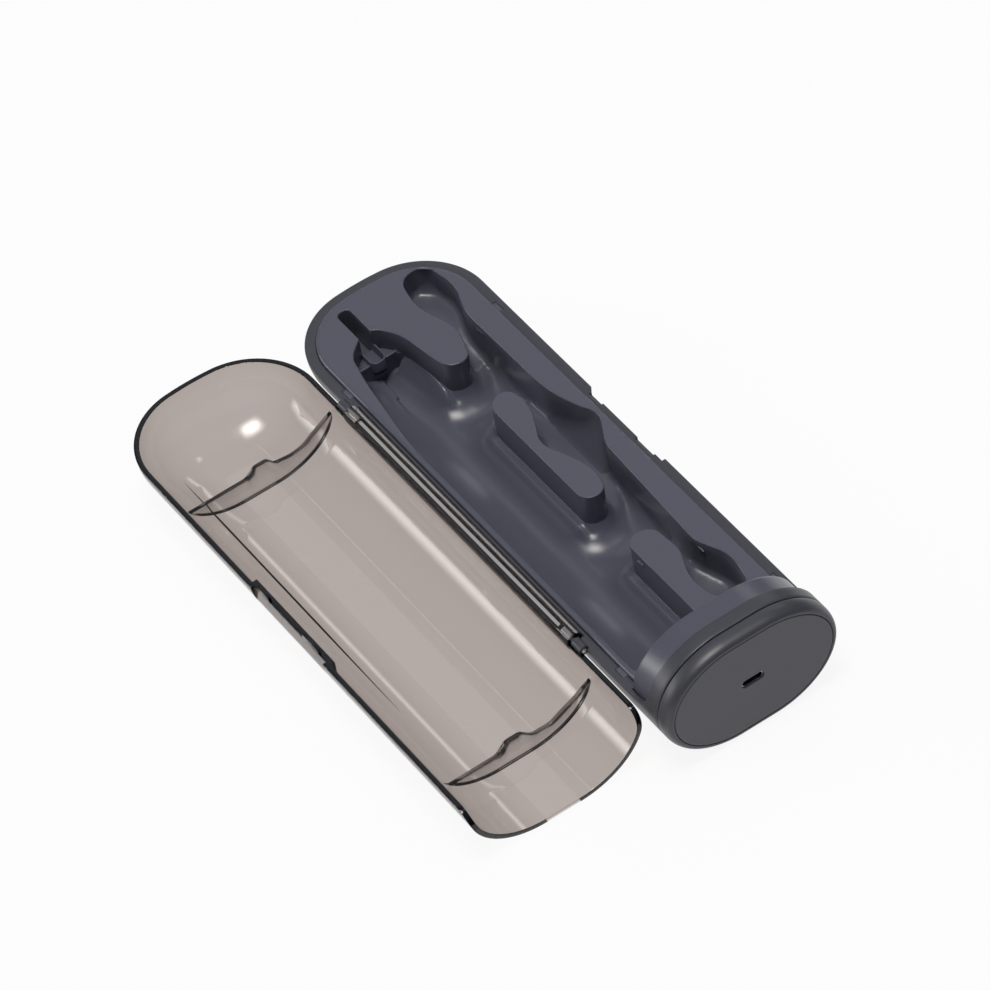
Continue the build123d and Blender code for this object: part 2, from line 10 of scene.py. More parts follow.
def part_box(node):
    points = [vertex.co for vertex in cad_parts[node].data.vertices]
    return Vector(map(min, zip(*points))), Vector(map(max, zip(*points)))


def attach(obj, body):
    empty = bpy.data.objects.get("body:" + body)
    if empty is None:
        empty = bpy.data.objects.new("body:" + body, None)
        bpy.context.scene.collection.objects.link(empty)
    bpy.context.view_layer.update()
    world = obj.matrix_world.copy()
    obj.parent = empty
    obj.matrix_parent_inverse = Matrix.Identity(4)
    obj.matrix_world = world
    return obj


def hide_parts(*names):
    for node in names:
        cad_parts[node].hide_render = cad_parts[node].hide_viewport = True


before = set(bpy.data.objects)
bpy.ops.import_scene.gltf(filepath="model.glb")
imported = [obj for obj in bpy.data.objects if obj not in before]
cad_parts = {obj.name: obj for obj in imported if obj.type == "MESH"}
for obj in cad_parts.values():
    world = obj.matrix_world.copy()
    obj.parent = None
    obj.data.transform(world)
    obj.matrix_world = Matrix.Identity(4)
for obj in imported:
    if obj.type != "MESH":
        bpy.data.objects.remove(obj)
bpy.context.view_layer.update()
print("frame loaded")

# Lengths are millimetres: u along the case from its far end, v across from the middle of the tray, w above
# the rim. The three places below tie them to the frame.
mm = 0.001
skyward = (0, 0, 1)
case = {
    "farX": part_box("tray_shell")[0].x / mm,
    "trayY": (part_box("end_plate")[0].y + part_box("end_plate")[1].y) / 2 / mm,
    "rimZ": 24.0,
    "length": 248.6,
    "halfWidth": 36.0,
    "halfHeight": 24.0,
    "flatHalf": 6.9,  # half of the flat strip along the crown
    "endBow": 110.0,
    "wall": 2.0,
    "clampW": 7.336,  # below this height a shell's rows have places of their own
    "arcU": 228.0,  # the rim is level up to here, and follows an arc at the foot
    "arcR": 8.0,
    "grooveU": 241.9,
    "bulkheadU": 224.5,
}
tall = case["halfHeight"]
cornerR = case["halfWidth"] - case["flatHalf"]
noseReach = case["endBow"] - cornerR
noseTurn = math.asin(case["flatHalf"] / noseReach)
cornerU = case["endBow"] - noseReach * math.cos(noseTurn)
lidV = -2 * case["trayY"]  # middle of the open lid, seen from the middle of the tray
hingeV = -case["trayY"]


# Meshes.

# A bag collects grids of points. Equal points are merged when it becomes a mesh.
def newBag():
    return {"points": [], "faces": [], "count": 0}


def addFaces(bag, points, faces):
    points = np.asarray(points, float).reshape(-1, 3)
    bag["points"].append(points)
    bag["faces"] += [tuple(int(k) + bag["count"] for k in face) for face in faces]
    bag["count"] += len(points)


# Quads of a rows by columns grid, closed either way.
def addGrid(bag, points, closeColumns=False, closeRows=False):
    rows, columns = points.shape[:2]
    r = np.arange(rows if closeRows else rows - 1)
    c = np.arange(columns if closeColumns else columns - 1)
    r, c = (a.ravel() for a in np.meshgrid(r, c, indexing="ij"))
    r2, c2 = (r + 1) % rows, (c + 1) % columns
    quads = np.stack([r * columns + c, r * columns + c2, r2 * columns + c2, r2 * columns + c], 1)
    quads += bag["count"]
    bag["points"].append(points.reshape(-1, 3))
    bag["faces"] += list(map(tuple, quads.tolist()))
    bag["count"] += rows * columns


# Calls make, and turns over the faces it adds when, on the whole, they look away from the wanted direction.
# Without a direction they are taken for the faces of a closed form, which look outward.
def facing(bag, toward, make, *given, **named):
    start = len(bag["faces"])
    make(bag, *given, **named)
    points = np.concatenate(bag["points"])
    faces = bag["faces"][start:]
    corner = np.array([list(f)[:3] for f in faces])
    a, b, c = (points[corner[:, k]] for k in range(3))
    want = a - a.mean(0) if toward is None else toward(a) if callable(toward) else np.asarray(toward, float)
    if np.sum(np.cross(b - a, c - a) * want) < 0:
        bag["faces"][start:] = [f[::-1] for f in faces]


def pieceFrom(name, bag, material, body, nodes=(), split=35, closed=True):
    points = (np.concatenate(bag["points"]) + (case["farX"], case["trayY"], case["rimZ"])) * mm
    mesh = bpy.data.meshes.new(name)
    mesh.from_pydata(points.tolist(), [], bag["faces"])
    work = bmesh.new()
    work.from_mesh(mesh)
    bmesh.ops.remove_doubles(work, verts=work.verts, dist=2e-6)
    bmesh.ops.dissolve_degenerate(work, edges=work.edges, dist=1e-7)
    if closed:
        bmesh.ops.recalc_face_normals(work, faces=work.faces)
    loose = sum(1 for edge in work.edges if len(edge.link_faces) != 2)
    if loose:
        print("open edges on", name, loose)
    work.to_mesh(mesh)
    work.free()
    mesh.materials.append(materials[material])
    mesh.shade_smooth()
    mesh.set_sharp_from_angle(angle=math.radians(split))
    piece = bpy.data.objects.new(name, mesh)
    bpy.context.scene.collection.objects.link(piece)
    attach(piece, body)
    if nodes:
        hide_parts(*nodes)
    return piece


# An outline of (a, b, radius) corners with each corner turned into an arc of its radius.
def rounded(corners, step=0.25, closed=True):
    table = np.asarray(corners, float)
    out = []
    for i, (a, b, radius) in enumerate(table):
        here = np.array((a, b))
        if radius <= 0 or (not closed and i in (0, len(table) - 1)):
            out.append(here[None])
            continue
        before, after = table[i - 1, :2] - here, table[(i + 1) % len(table), :2] - here
        before, after = before / np.linalg.norm(before), after / np.linalg.norm(after)
        half = math.acos(np.clip(before @ after, -1, 1)) / 2
        middle = (before + after) / np.linalg.norm(before + after)
        centre = here + middle * radius / math.sin(half)
        start, end = (here + d * radius / math.tan(half) - centre for d in (before, after))
        a0, a1 = math.atan2(start[1], start[0]), math.atan2(end[1], end[0])
        turn = (a1 - a0 + math.pi) % (2 * math.pi) - math.pi
        a = a0 + turn * np.linspace(0, 1, max(3, int(radius * abs(turn) / step) + 2))
        out.append(centre + radius * np.stack([np.cos(a), np.sin(a)], 1))
    return np.concatenate(out)


# The same line with its points spaced evenly, step apart.
def evenly(line, step, closed=True):
    path = np.concatenate([line, line[:1]]) if closed else line
    run = np.concatenate([[0], np.cumsum(np.linalg.norm(np.diff(path, axis=0), axis=1))])
    keep = np.concatenate([[True], np.diff(run) > 1e-9])
    path, run = path[keep], run[keep]
    count = max(4, int(round(run[-1] / step)))
    at = np.linspace(0, run[-1], count + 1)
    at = at[:-1] if closed else at
    return np.stack([np.interp(at, run, path[:, k]) for k in (0, 1)], 1)


# Unit normals of a closed line, to the left of its way round.
def normals(line):
    along = np.roll(line, -1, 0) - np.roll(line, 1, 0)
    along /= np.linalg.norm(along, axis=1)[:, None] + 1e-12
    return np.stack([-along[:, 1], along[:, 0]], 1)


def area(line):
    a, b = line.T
    return 0.5 * np.sum(a * np.roll(b, -1) - np.roll(a, -1) * b)


# Which points lie inside a closed line, by counting its crossings.
def inside(points, line):
    a, b = points[:, 0][:, None], points[:, 1][:, None]
    a0, b0 = line.T
    a1, b1 = np.roll(line, -1, 0).T
    out = np.zeros(len(points), bool)
    for i in range(0, len(points), 4000):
        s = slice(i, i + 4000)
        crosses = (b0 > b[s]) != (b1 > b[s])
        where = a0 + (b[s] - b0) * (a1 - a0) / np.where(b1 == b0, 1e-12, b1 - b0)
        out[s] = (np.sum(crosses & (a[s] < where), axis=1) % 2) == 1
    return out


# Distance of points to a line's segments.
def distance(points, line, closed=True):
    start = line if closed else line[:-1]
    end = np.roll(line, -1, 0) if closed else line[1:]
    run = end - start
    size = np.sum(run * run, 1) + 1e-12
    out = np.empty(len(points))
    for i in range(0, len(points), 1000):
        p = points[i:i + 1000, None] - start[None]
        t = np.clip(np.sum(p * run, 2) / size, 0, 1)
        out[i:i + 1000] = np.sqrt(np.min(np.sum((p - t[..., None] * run) ** 2, 2), 1))
    return out


# Triangles between closed lines, with extra points inside; keep says which triangles stay, by their middles.
def filled(lines, extra, keep):
    points, edges = [], []
    for line in lines:
        first = len(points)
        points += [Vector(p) for p in line.tolist()]
        edges += [(first + k, first + (k + 1) % len(line)) for k in range(len(line))]
    points += [Vector(p) for p in np.asarray(extra, float).reshape(-1, 2).tolist()]
    made = delaunay_2d_cdt(points, edges, [], 0, 1e-7)
    flat = np.array([tuple(p) for p in made[0]])
    faces = np.array([tuple(f) for f in made[2]])
    faces = faces[keep(flat[faces].mean(1))]
    return flat, faces


# A level patch inside an outline and outside its hole.
def levelPatch(bag, height, outline, hole=None):
    lines = [outline] if hole is None else [outline, hole]
    flat, faces = filled(lines, [], lambda m: inside(m, outline) & (hole is None or ~inside(m, hole)))
    addFaces(bag, np.column_stack([flat, np.full(len(flat), height)]), faces.tolist())


def smoothStep(x, low, high):
    t = np.clip((x - low) / (high - low), 0, 1)
    return t * t * (3 - 2 * t)


# The higher of two surfaces, with their meeting rounded over k.
def softMax(a, b, k):
    t = np.clip(0.5 + 0.5 * (a - b) / k, 0, 1)
    return b + (a - b) * t + k * t * (1 - t)


# Columns of the pod: each has a foot point on the crown's spine and an outward direction. They run up the
# hinge side from the foot, round the corners and the shallow bow of the far end, and back down the other
# side.
def podColumns(stations):
    straight = np.asarray(stations, float)
    a = np.linspace(0, math.pi / 2 - noseTurn, 27)
    b = np.linspace(-noseTurn, noseTurn, 7)
    foot = [np.stack([straight[::-1], np.full(len(straight), -case["flatHalf"])], 1),
            np.tile((cornerU, -case["flatHalf"]), (len(a), 1)),
            np.stack([case["endBow"] - noseReach * np.cos(b), noseReach * np.sin(b)], 1),
            np.tile((cornerU, case["flatHalf"]), (len(a), 1)),
            np.stack([straight, np.full(len(straight), case["flatHalf"])], 1)]
    out = [np.tile((0.0, -1.0), (len(straight), 1)), np.stack([-np.sin(a), -np.cos(a)], 1),
           np.stack([-np.cos(b), np.sin(b)], 1), np.stack([-np.sin(a), np.cos(a)], 1)[::-1],
           np.tile((0.0, 1.0), (len(straight), 1))]
    side = np.concatenate([np.full(len(straight), -1), np.zeros(len(a) * 2 + len(b), int),
                           np.full(len(straight), 1)])
    return {"foot": np.concatenate(foot), "out": np.concatenate(out), "side": side}


# How far the pod's ellipse stands out from the spine at a height, drawn in by inset.
def podOut(w, inset):
    return (cornerR - inset) * np.sqrt(np.clip(1 - (w / (tall - inset)) ** 2, 0, 1))


# Height of the pod's floor under points seen from above.
def podFloor(u, v, inset):
    side = np.abs(v)
    onNose = np.arctan2(side, case["endBow"] - u) < noseTurn
    out = np.where(u >= cornerU, np.maximum(side - case["flatHalf"], 0),
                   np.where(onNose, np.maximum(np.hypot(case["endBow"] - u, v) - noseReach, 0),
                            np.hypot(cornerU - u, np.maximum(side - case["flatHalf"], 0))))
    return -(tall - inset) * np.sqrt(np.clip(1 - (out / (cornerR - inset)) ** 2, 0, 1))


# Stations along the straight sides: every change of section gets one station on each side of it, and each
# station knows the middle of the stretch it belongs to.
def sectionStations(breaks, last, step=14.0):
    at, middle = [], []
    ends = [cornerU, *breaks, last]
    for low, high in zip(ends[:-1], ends[1:]):
        count = max(2, int((high - low) / step) + 2)
        at += list(np.linspace(low, high, count))
        middle += [(low + high) / 2] * count
    return np.array(at), np.array(middle)


# Finishes.

# Sets a node's inputs, each to a value or to another node's output.
def setInputs(tree, node, inputs):
    for key, value in inputs.items():
        if isinstance(value, bpy.types.NodeSocket):
            tree.links.new(value, node.inputs[key])
        else:
            node.inputs[key].default_value = value


def addNode(tree, kind, inputs, **settings):
    node = tree.nodes.new("ShaderNode" + kind)
    for key, value in settings.items():
        setattr(node, key, value)
    setInputs(tree, node, inputs)
    return node


def newGroup(name, inputs, outputs):
    group = bpy.data.node_groups.new(name, "ShaderNodeTree")
    for label, kind, value in inputs:
        socket = group.interface.new_socket(label, in_out="INPUT", socket_type="NodeSocket" + kind)
        socket.default_value = value
    for label, kind in outputs:
        group.interface.new_socket(label, in_out="OUTPUT", socket_type="NodeSocket" + kind)
    return group, group.nodes.new("NodeGroupInput"), group.nodes.new("NodeGroupOutput")


def newMaterial(name):
    material = bpy.data.materials.new(name)
    material.use_nodes = True
    return material, material.node_tree, material.node_tree.nodes["Principled BSDF"]


# Fine spark-eroded grain, faint colour drift and patchy gloss of a moulded plastic surface.
def mouldedGroup():
    group, given, out = newGroup(
        "mouldedSurface",
        [("Colour", "Color", (0.1, 0.1, 0.1, 1)), ("Gloss", "Float", 0.4), ("Grain Size", "Float", 0.25),
         ("Grain Depth", "Float", 0.3), ("Drift", "Float", 0.05)],
        [("Colour", "Color"), ("Roughness", "Float"), ("Normal", "Vector")])
    given = given.outputs
    where = addNode(group, "TexCoord", {}).outputs["Object"]
    size = addNode(group, "Math", {0: 1 / mm, 1: given["Grain Size"]}, operation="DIVIDE")
    grain = addNode(group, "TexNoise", {"Vector": where, "Scale": size.outputs[0], "Detail": 3})
    broad = addNode(group, "TexNoise", {"Vector": where, "Scale": 28, "Detail": 2})
    spread = addNode(group, "Math", {0: broad.outputs["Fac"], 1: given["Drift"], 2: 1},
                     operation="MULTIPLY_ADD")
    tone = addNode(group, "VectorMath", {0: given["Colour"], "Scale": spread.outputs[0]}, operation="SCALE")
    rough = addNode(group, "Math", {0: given["Gloss"], 1: spread.outputs[0]}, operation="MULTIPLY")
    bump = addNode(group, "Bump", {"Distance": 0.03 * mm, "Strength": given["Grain Depth"],
                                   "Height": grain.outputs["Fac"]})
    setInputs(group, out, {"Colour": tone.outputs[0], "Roughness": rough.outputs[0],
                           "Normal": bump.outputs[0]})
    return group


moulded = mouldedGroup()


# A moulded finish on the Principled shader, from one look dictionary.
def plasticMaterial(name, look):
    material, tree, shader = newMaterial(name)
    surface = addNode(tree, "Group", {
        "Colour": (*look["colour"], 1), "Gloss": look["roughness"], "Grain Size": look.get("grain", 0.25),
        "Grain Depth": look.get("depth", 0.3), "Drift": 0.06}, node_tree=moulded).outputs
    setInputs(tree, shader, {
        "Base Color": surface["Colour"], "Roughness": surface["Roughness"], "Normal": surface["Normal"],
        "Metallic": look.get("metallic", 0), "IOR": 1.5})
    return material


finishes = {
    "charcoal_shell": {"colour": (0.050, 0.051, 0.060), "roughness": 0.36, "grain": 0.3, "depth": 0.5},
    "charcoal_insert": {"colour": (0.083, 0.086, 0.110), "roughness": 0.26, "grain": 0.3, "depth": 0.7},
    "plate_black": {"colour": (0.066, 0.067, 0.079), "roughness": 0.38, "grain": 0.3, "depth": 0.35},
    "pin_steel": {"colour": (0.62, 0.61, 0.6), "roughness": 0.28, "metallic": 1, "grain": 0.6, "depth": 0.1},
    "port_steel": {"colour": (0.42, 0.42, 0.44), "roughness": 0.3, "metallic": 1, "grain": 0.5, "depth": 0.1},
    "port_black": {"colour": (0.012, 0.012, 0.013), "roughness": 0.5},
    "board_laminate": {"colour": (0.02, 0.12, 0.05), "roughness": 0.35, "grain": 1.0, "depth": 0.2},
    "chip_black": {"colour": (0.015, 0.015, 0.015), "roughness": 0.55},
    "capacitor_film": {"colour": (0.45, 0.1, 0.03), "roughness": 0.25},
    "ferrite": {"colour": (0.05, 0.05, 0.055), "roughness": 0.6, "grain": 0.4},
    "coil_copper": {"colour": (0.75, 0.33, 0.15), "roughness": 0.3, "metallic": 1, "grain": 0.4,
                    "depth": 0.6},
    "carrier_white": {"colour": (0.75, 0.75, 0.72), "roughness": 0.5},
    "screw_steel": {"colour": (0.5, 0.5, 0.52), "roughness": 0.35, "metallic": 1, "grain": 0.5, "depth": 0.2},
    # near-black, for the dark lines put into the clear lid: painted shade
    "painted_shade_black": {"colour": (0.012, 0.011, 0.011), "roughness": 0.2, "grain": 0.5, "depth": 0.05},
}
materials = {name: plasticMaterial(name, look) for name, look in finishes.items()}

# Absorption is the density, per metre of plastic, times one minus the tint. The lighter one is for the ribs
# and the hinge bar, made lighter than the lid's plastic, to match the photo.
smokes = {
    "smoked_clear": {"tint": (0.763, 0.726, 0.706), "density": 1500.0},
    # a lighter copy of the lid's own plastic for the ribs and the hinge bar: painted light
    "smoked_painted_lighter": {"tint": (0.74, 0.725, 0.72), "density": 650.0},
}


# Clear smoked plastic, coloured by its depth, so that edges seen lengthways go dark.
def smokedMaterial(name, look):
    material, tree, shader = newMaterial(name)
    setInputs(tree, shader, {"Base Color": (1, 1, 1, 1), "Transmission Weight": 1, "IOR": 1.5,
                             "Roughness": 0})
    shadow = addNode(tree, "LightPath", {}).outputs["Is Shadow Ray"]
    through = addNode(tree, "BsdfTransparent", {})
    choose = addNode(tree, "MixShader", {0: shadow, 1: shader.outputs[0], 2: through.outputs[0]})
    depth = addNode(tree, "VolumeAbsorption", {"Color": (*look["tint"], 1), "Density": look["density"]})
    setInputs(tree, tree.nodes["Material Output"], {"Surface": choose.outputs[0], "Volume": depth.outputs[0]})
    return material


materials |= {name: smokedMaterial(name, look) for name, look in smokes.items()}
print("materials made")


# Tray and lid shells.

# Half of the pod as a thin shell. Rows go from the crown up the outside, over the rim band and down the
# inside. The rim band follows the edge: level along the sides, an arc at the foot (out or in), then across
# the end. A point of the edge, e behind it: shift = radius sin(turn), height = sense (arcR - radius
# cos(turn)).
def shellHalf(spec, cols, overrides, limit):
    bag = newBag()
    foot, out, turn, sense = cols["foot"], cols["out"], cols["turn"], spec["sense"]
    quarter = math.pi / 2

    def place(h, w, shift):
        h, w, shift = np.broadcast_arrays(h, w, shift)
        return np.stack([foot[:, 0] + shift + out[:, 0] * h, foot[:, 1] + out[:, 1] * h, w], -1)

    def edge(back):
        radius = spec["radius"] + sense * back
        return radius * np.sin(turn), sense * (case["arcR"] - radius * np.cos(turn))

    def centre(points, crown):
        middle = points[:1].copy()
        middle[0, :, 0] = np.maximum(middle[0, :, 0], cornerU)
        middle[0, :, 1] = 0
        middle[0, :, 2] = crown
        return np.concatenate([middle, points])

    e0, e1 = spec["round"], spec["innerBack"]
    first = math.asin((spec["gap"] + e0) / tall)
    phi = np.concatenate([np.linspace(quarter, math.asin(case["clampW"] / tall), 22),
                          np.arcsin(np.array(spec["sideW"] + [spec["gap"] + e0]) / tall)])
    share = (phi - first) / (quarter - first)
    skins = []
    for inset, back in ((0, e0), (case["wall"], e1)):
        shift, w = edge(back)
        start = np.arcsin(-w / (tall - inset))
        angle = start[None] + share[:, None] * (quarter - start[None])
        w = -(tall - inset) * np.sin(angle)
        h = limit((cornerR - inset) * np.cos(angle), w, inset)
        if inset == 0:
            for mask, rows in overrides:
                for k, (rowH, rowW) in enumerate(rows):
                    at = len(phi) - len(rows) + k
                    h[at] = np.where(mask, rowH if rowH is not None else h[at], h[at])
                    w[at] = np.where(mask, rowW, w[at])
        skins.append(centre(place(h, w, shift[None]), -(tall - inset)))
    band = []
    for row in spec["band"]:
        shift, w = edge(row["back"])
        h = row["h"](w)
        w = np.broadcast_to(w, h.shape) if "w" not in row else row["w"](w)
        band.append(place(h, w, shift))
    band = np.stack(band)
    inner = skins[1][::-1]
    addGrid(bag, np.concatenate([skins[0], band, inner]))

    # the end: stations from the foot of the arc round the crown and back
    t = share[::-1]
    t = np.concatenate([t, t[::-1]] if sense < 0 else [np.linspace(0, 1, 30), np.linspace(1, 0, 30)])
    half = len(t) // 2
    sideOf = np.concatenate([np.full(half, -1.0), np.full(half, 1.0)])

    def across(inset, u):
        low = math.asin(case["arcR"] / (tall - inset))
        angle = low + t * (quarter - low)
        v = sideOf * (case["flatHalf"] + (cornerR - inset) * np.cos(angle))
        w = sense * (tall - inset) * np.sin(angle)
        ring = np.stack([np.full(len(t), u), v, w], -1)
        return np.concatenate([ring[:half], [[u, 0, sense * (tall - inset)]], ring[half:]])

    rows = [(0, e0), *[(row["inset"], row["back"]) for row in spec["band"]], (case["wall"], e1)]
    endU = case["arcU"] + spec["radius"]
    addGrid(bag, np.stack([across(inset, endU + sense * back) for inset, back in rows]))
    if sense > 0:  # the tray's ring goes on to the groove
        last = case["grooveU"]
        steps = [(0, endU + e0), (0, endU + 2), (0, last - 1.5), (0, last - 0.25), (0.08, last - 0.08),
                 (0.25, last), (case["wall"], last), (case["wall"], endU + e1)]
        addGrid(bag, np.stack([across(inset, u) for inset, u in steps]))
        for side in (0, -1):
            lower = []
            for inset, u in steps:
                skin = skins[0] if inset < 1 else skins[1]
                line = skin[:, side].copy()
                line[:, 0] = u
                if 0 < inset < 1:
                    low = math.asin(-case["arcR"] / (tall - inset))
                    angle = np.concatenate([[quarter], low + share * (quarter - low)])
                    beside = case["flatHalf"] + (cornerR - inset) * np.cos(angle[1:])
                    line[1:, 1] = np.sign(line[1:, 1]) * beside
                    line[:, 2] = -(tall - inset) * np.sin(angle)
                lower.append(line)
            addGrid(bag, np.stack(lower))
    return bag


def shellColumns(breaks, turns=12):
    at, middle = sectionStations(breaks, case["arcU"])
    at = np.concatenate([at, np.full(turns, case["arcU"])])
    middle = np.concatenate([middle, np.full(turns, case["arcU"])])
    turn = np.concatenate([np.zeros(len(at) - turns), np.linspace(0, math.pi / 2, turns + 1)[1:]])
    cols = podColumns(at)
    nose = np.sum(cols["side"] == 0)
    cols["middle"] = np.concatenate([middle[::-1], np.full(nose, -1.0), middle])
    cols["turn"] = np.concatenate([turn[::-1], np.zeros(nose), turn])
    return cols


def within(cols, side, span):
    return (cols["side"] == side) & (cols["middle"] > span[0]) & (cols["middle"] < span[1])


latch = {
    "thumbU": (99.0, 145.0),
    "thumbOut": 27.7,  # from the spine to the flat of the thumb notch
    "hookU": ((101.5, 108.5), (130.0, 140.5)),
    "hookClear": 0.25,
    "pocketOut": 26.45,
    "pocketW": -1.75,
}
hinge = {
    "notchU": (52.2, 194.0),
    "notchW": -3.9,
    "notchOut": 26.1,
    "axisOut": 29.93,  # from the spine to the pins
    "earLength": 5.6,
    "earR": 2.0,
    "scoopR": 2.35,
    "knuckleR": 3.2,
    "knuckle": 7.3,
    "gap": 0.35,
    "flatW": 1.9,  # the bar's lid side is cut down to this between the knuckles
    "pinR": 0.9,
}
tray = {"land": 4.1, "landEnd": 224.35, "tabU": (44.3, 215.8), "tabHalf": 2.65, "tabOut": 26.75,
        "tabDepth": 1.15}


def trayShell():
    tabs = [(u - tray["tabHalf"], u + tray["tabHalf"]) for u in tray["tabU"]]
    pockets = [(a - latch["hookClear"], b + latch["hookClear"]) for a, b in latch["hookU"]]
    breaks = sorted({*[x for pair in tabs + pockets for x in pair], *hinge["notchU"], *latch["thumbU"],
                     tray["landEnd"]})
    cols = shellColumns(breaks)
    notch = within(cols, -1, hinge["notchU"])
    thumb = within(cols, 1, latch["thumbU"])
    pocket = within(cols, 1, pockets[0]) | within(cols, 1, pockets[1])
    tab = sum(within(cols, s, span) for s in (-1, 1) for span in tabs) > 0
    landed = cols["middle"] < tray["landEnd"]
    flat = latch["thumbOut"]
    edgeR = 0.35
    innerOut = cornerR - tray["land"]

    def limit(h, w, inset):
        return np.where(thumb & (inset < 1), np.minimum(h, flat), h)

    def outerRow(inset):
        def h(w):
            plain = np.where(thumb, np.minimum(podOut(w, inset), flat - inset), podOut(w, inset))
            plain = np.where(notch, hinge["notchOut"] - 0.15, plain)
            return np.where(pocket, latch["pocketOut"] - 0.15, plain)
        return h

    def innerRow(plain, atTab, inset):
        def h(w):
            return np.where(landed, np.where(tab, atTab, plain), podOut(w, inset))
        return h

    def rowW(plain, atTab):
        def w(base):
            return np.where(landed, np.where(tab, -atTab, -plain), base)
        return w

    band = [{"inset": edgeR * (1 - math.cos(a)), "back": edgeR * (1 - math.sin(a))}
            for a in np.radians([30, 60, 90])]
    for row in band:
        row["h"] = outerRow(row["inset"])
        row["w"] = lambda base: np.where(notch | pocket, 0.0, base)
    for inset, back, plain, atTab, backTab in (
            (1.65, 0, innerOut + 0.25, tray["tabOut"] + 0.12, 0),
            (1.75, 0.05, innerOut + 0.07, tray["tabOut"], 0.12),
            (1.92, 0.2, innerOut, tray["tabOut"], 0.5),
            (2.0, 0.6, innerOut, tray["tabOut"], tray["tabDepth"]),
            (2.0, 1.2, innerOut, innerOut + 0.1, tray["tabDepth"]), (2.0, 1.6, innerOut, innerOut, 1.3),
            (2.0, 2.2, innerOut, innerOut, 2.2)):
        band.append({"inset": inset, "back": back, "h": innerRow(plain, atTab, inset),
                     "w": rowW(back, backTab)})
    overrides = [
        (notch, [(None, -4.1), (None, -3.97), (28.5, hinge["notchW"]),
                 (hinge["notchOut"], hinge["notchW"]), (hinge["notchOut"], -2.0),
                 (hinge["notchOut"], -0.15)]),
        (pocket, [(flat, -4.1), (flat, -2.6), (flat, -1.85), (flat - 0.12, latch["pocketW"]),
                  (latch["pocketOut"], latch["pocketW"]), (latch["pocketOut"], -0.15)]),
    ]
    spec = {"sense": 1, "radius": case["arcR"], "round": edgeR, "innerBack": 2.2, "gap": 0.0,
            "sideW": [5.7, 4.1, 3.3, 2.4, 1.5, 0.8], "band": band}
    bag = shellHalf(spec, cols, overrides, limit)

    # ears: a tube round the pin with a web down to the shell, radius = the larger of the round and the web
    a = np.linspace(0, 2 * math.pi, 48, endpoint=False)
    c, s = np.cos(a), np.sin(a)
    web = np.minimum(1.83 / np.maximum(c, 1e-6), hinge["earR"] / np.maximum(-s, 1e-6))
    web = np.where((c > 0) & (s <= 1e-9), web, 0)
    outer = np.maximum(hinge["earR"], web)
    for u0 in (hinge["notchU"][0] - hinge["earLength"], hinge["notchU"][1]):
        u1 = u0 + hinge["earLength"]
        rings = [(u0, hinge["pinR"], 0), (u0, 0, -0.2), (u0 + 0.2, 0, 0), (u1 - 0.2, 0, 0), (u1, 0, -0.2),
                 (u1, hinge["pinR"], 0)]
        ear = np.stack([np.stack([np.full(48, u), hingeV + c * (r or outer + d), s * (r or outer + d)], -1)
                        for u, r, d in rings])
        addGrid(bag, ear, closeColumns=True, closeRows=True)
    return pieceFrom("trayShell", bag, "charcoal_shell", "case", ["tray_shell"], 40)


lid = {
    "gap": 0.2,
    "round": 0.22,
    "thumbInner": 25.2,
    "hookOut": 34.6,
    "hookThick": 1.0,
    "hookRise": 1.5,
    "ribs": {
        "Far": {"u": 43.2, "edge": ((40, 12.4, 0), (4.8, 12.2, 3.0), (0.7, 8.6, 2.4), (-4.5, 8.6, 2.4),
                                    (-7.6, 12.2, 3.0), (-14.0, 13.0, 9.0), (-19.6, 12.2, 9.0),
                                    (-23.4, 9.4, 5.0), (-33.5, 3.6, 0))},
        "Foot": {"u": 206.2, "edge": ((40, 15.0, 0), (7.2, 14.8, 3.4), (3.0, 10.6, 3.0), (-3.0, 10.6, 3.0),
                                      (-7.4, 14.7, 3.4), (-15.0, 14.9, 6.0), (-20.4, 12.2, 8.0),
                                      (-25.6, 9.8, 8.0), (-33.5, 5.0, 0))},
    },
    "ribV": (-29.6, 33.2),
    "ribThick": 1.6,
    "lineV": (-27.2, 32.6),
    "lineR": 0.3,  # half width of the bead at a rib's foot
    "bead": {"v": -20.3, "u": (24.0, 166.0), "r": 0.42, "taper": (28, 50)},
}


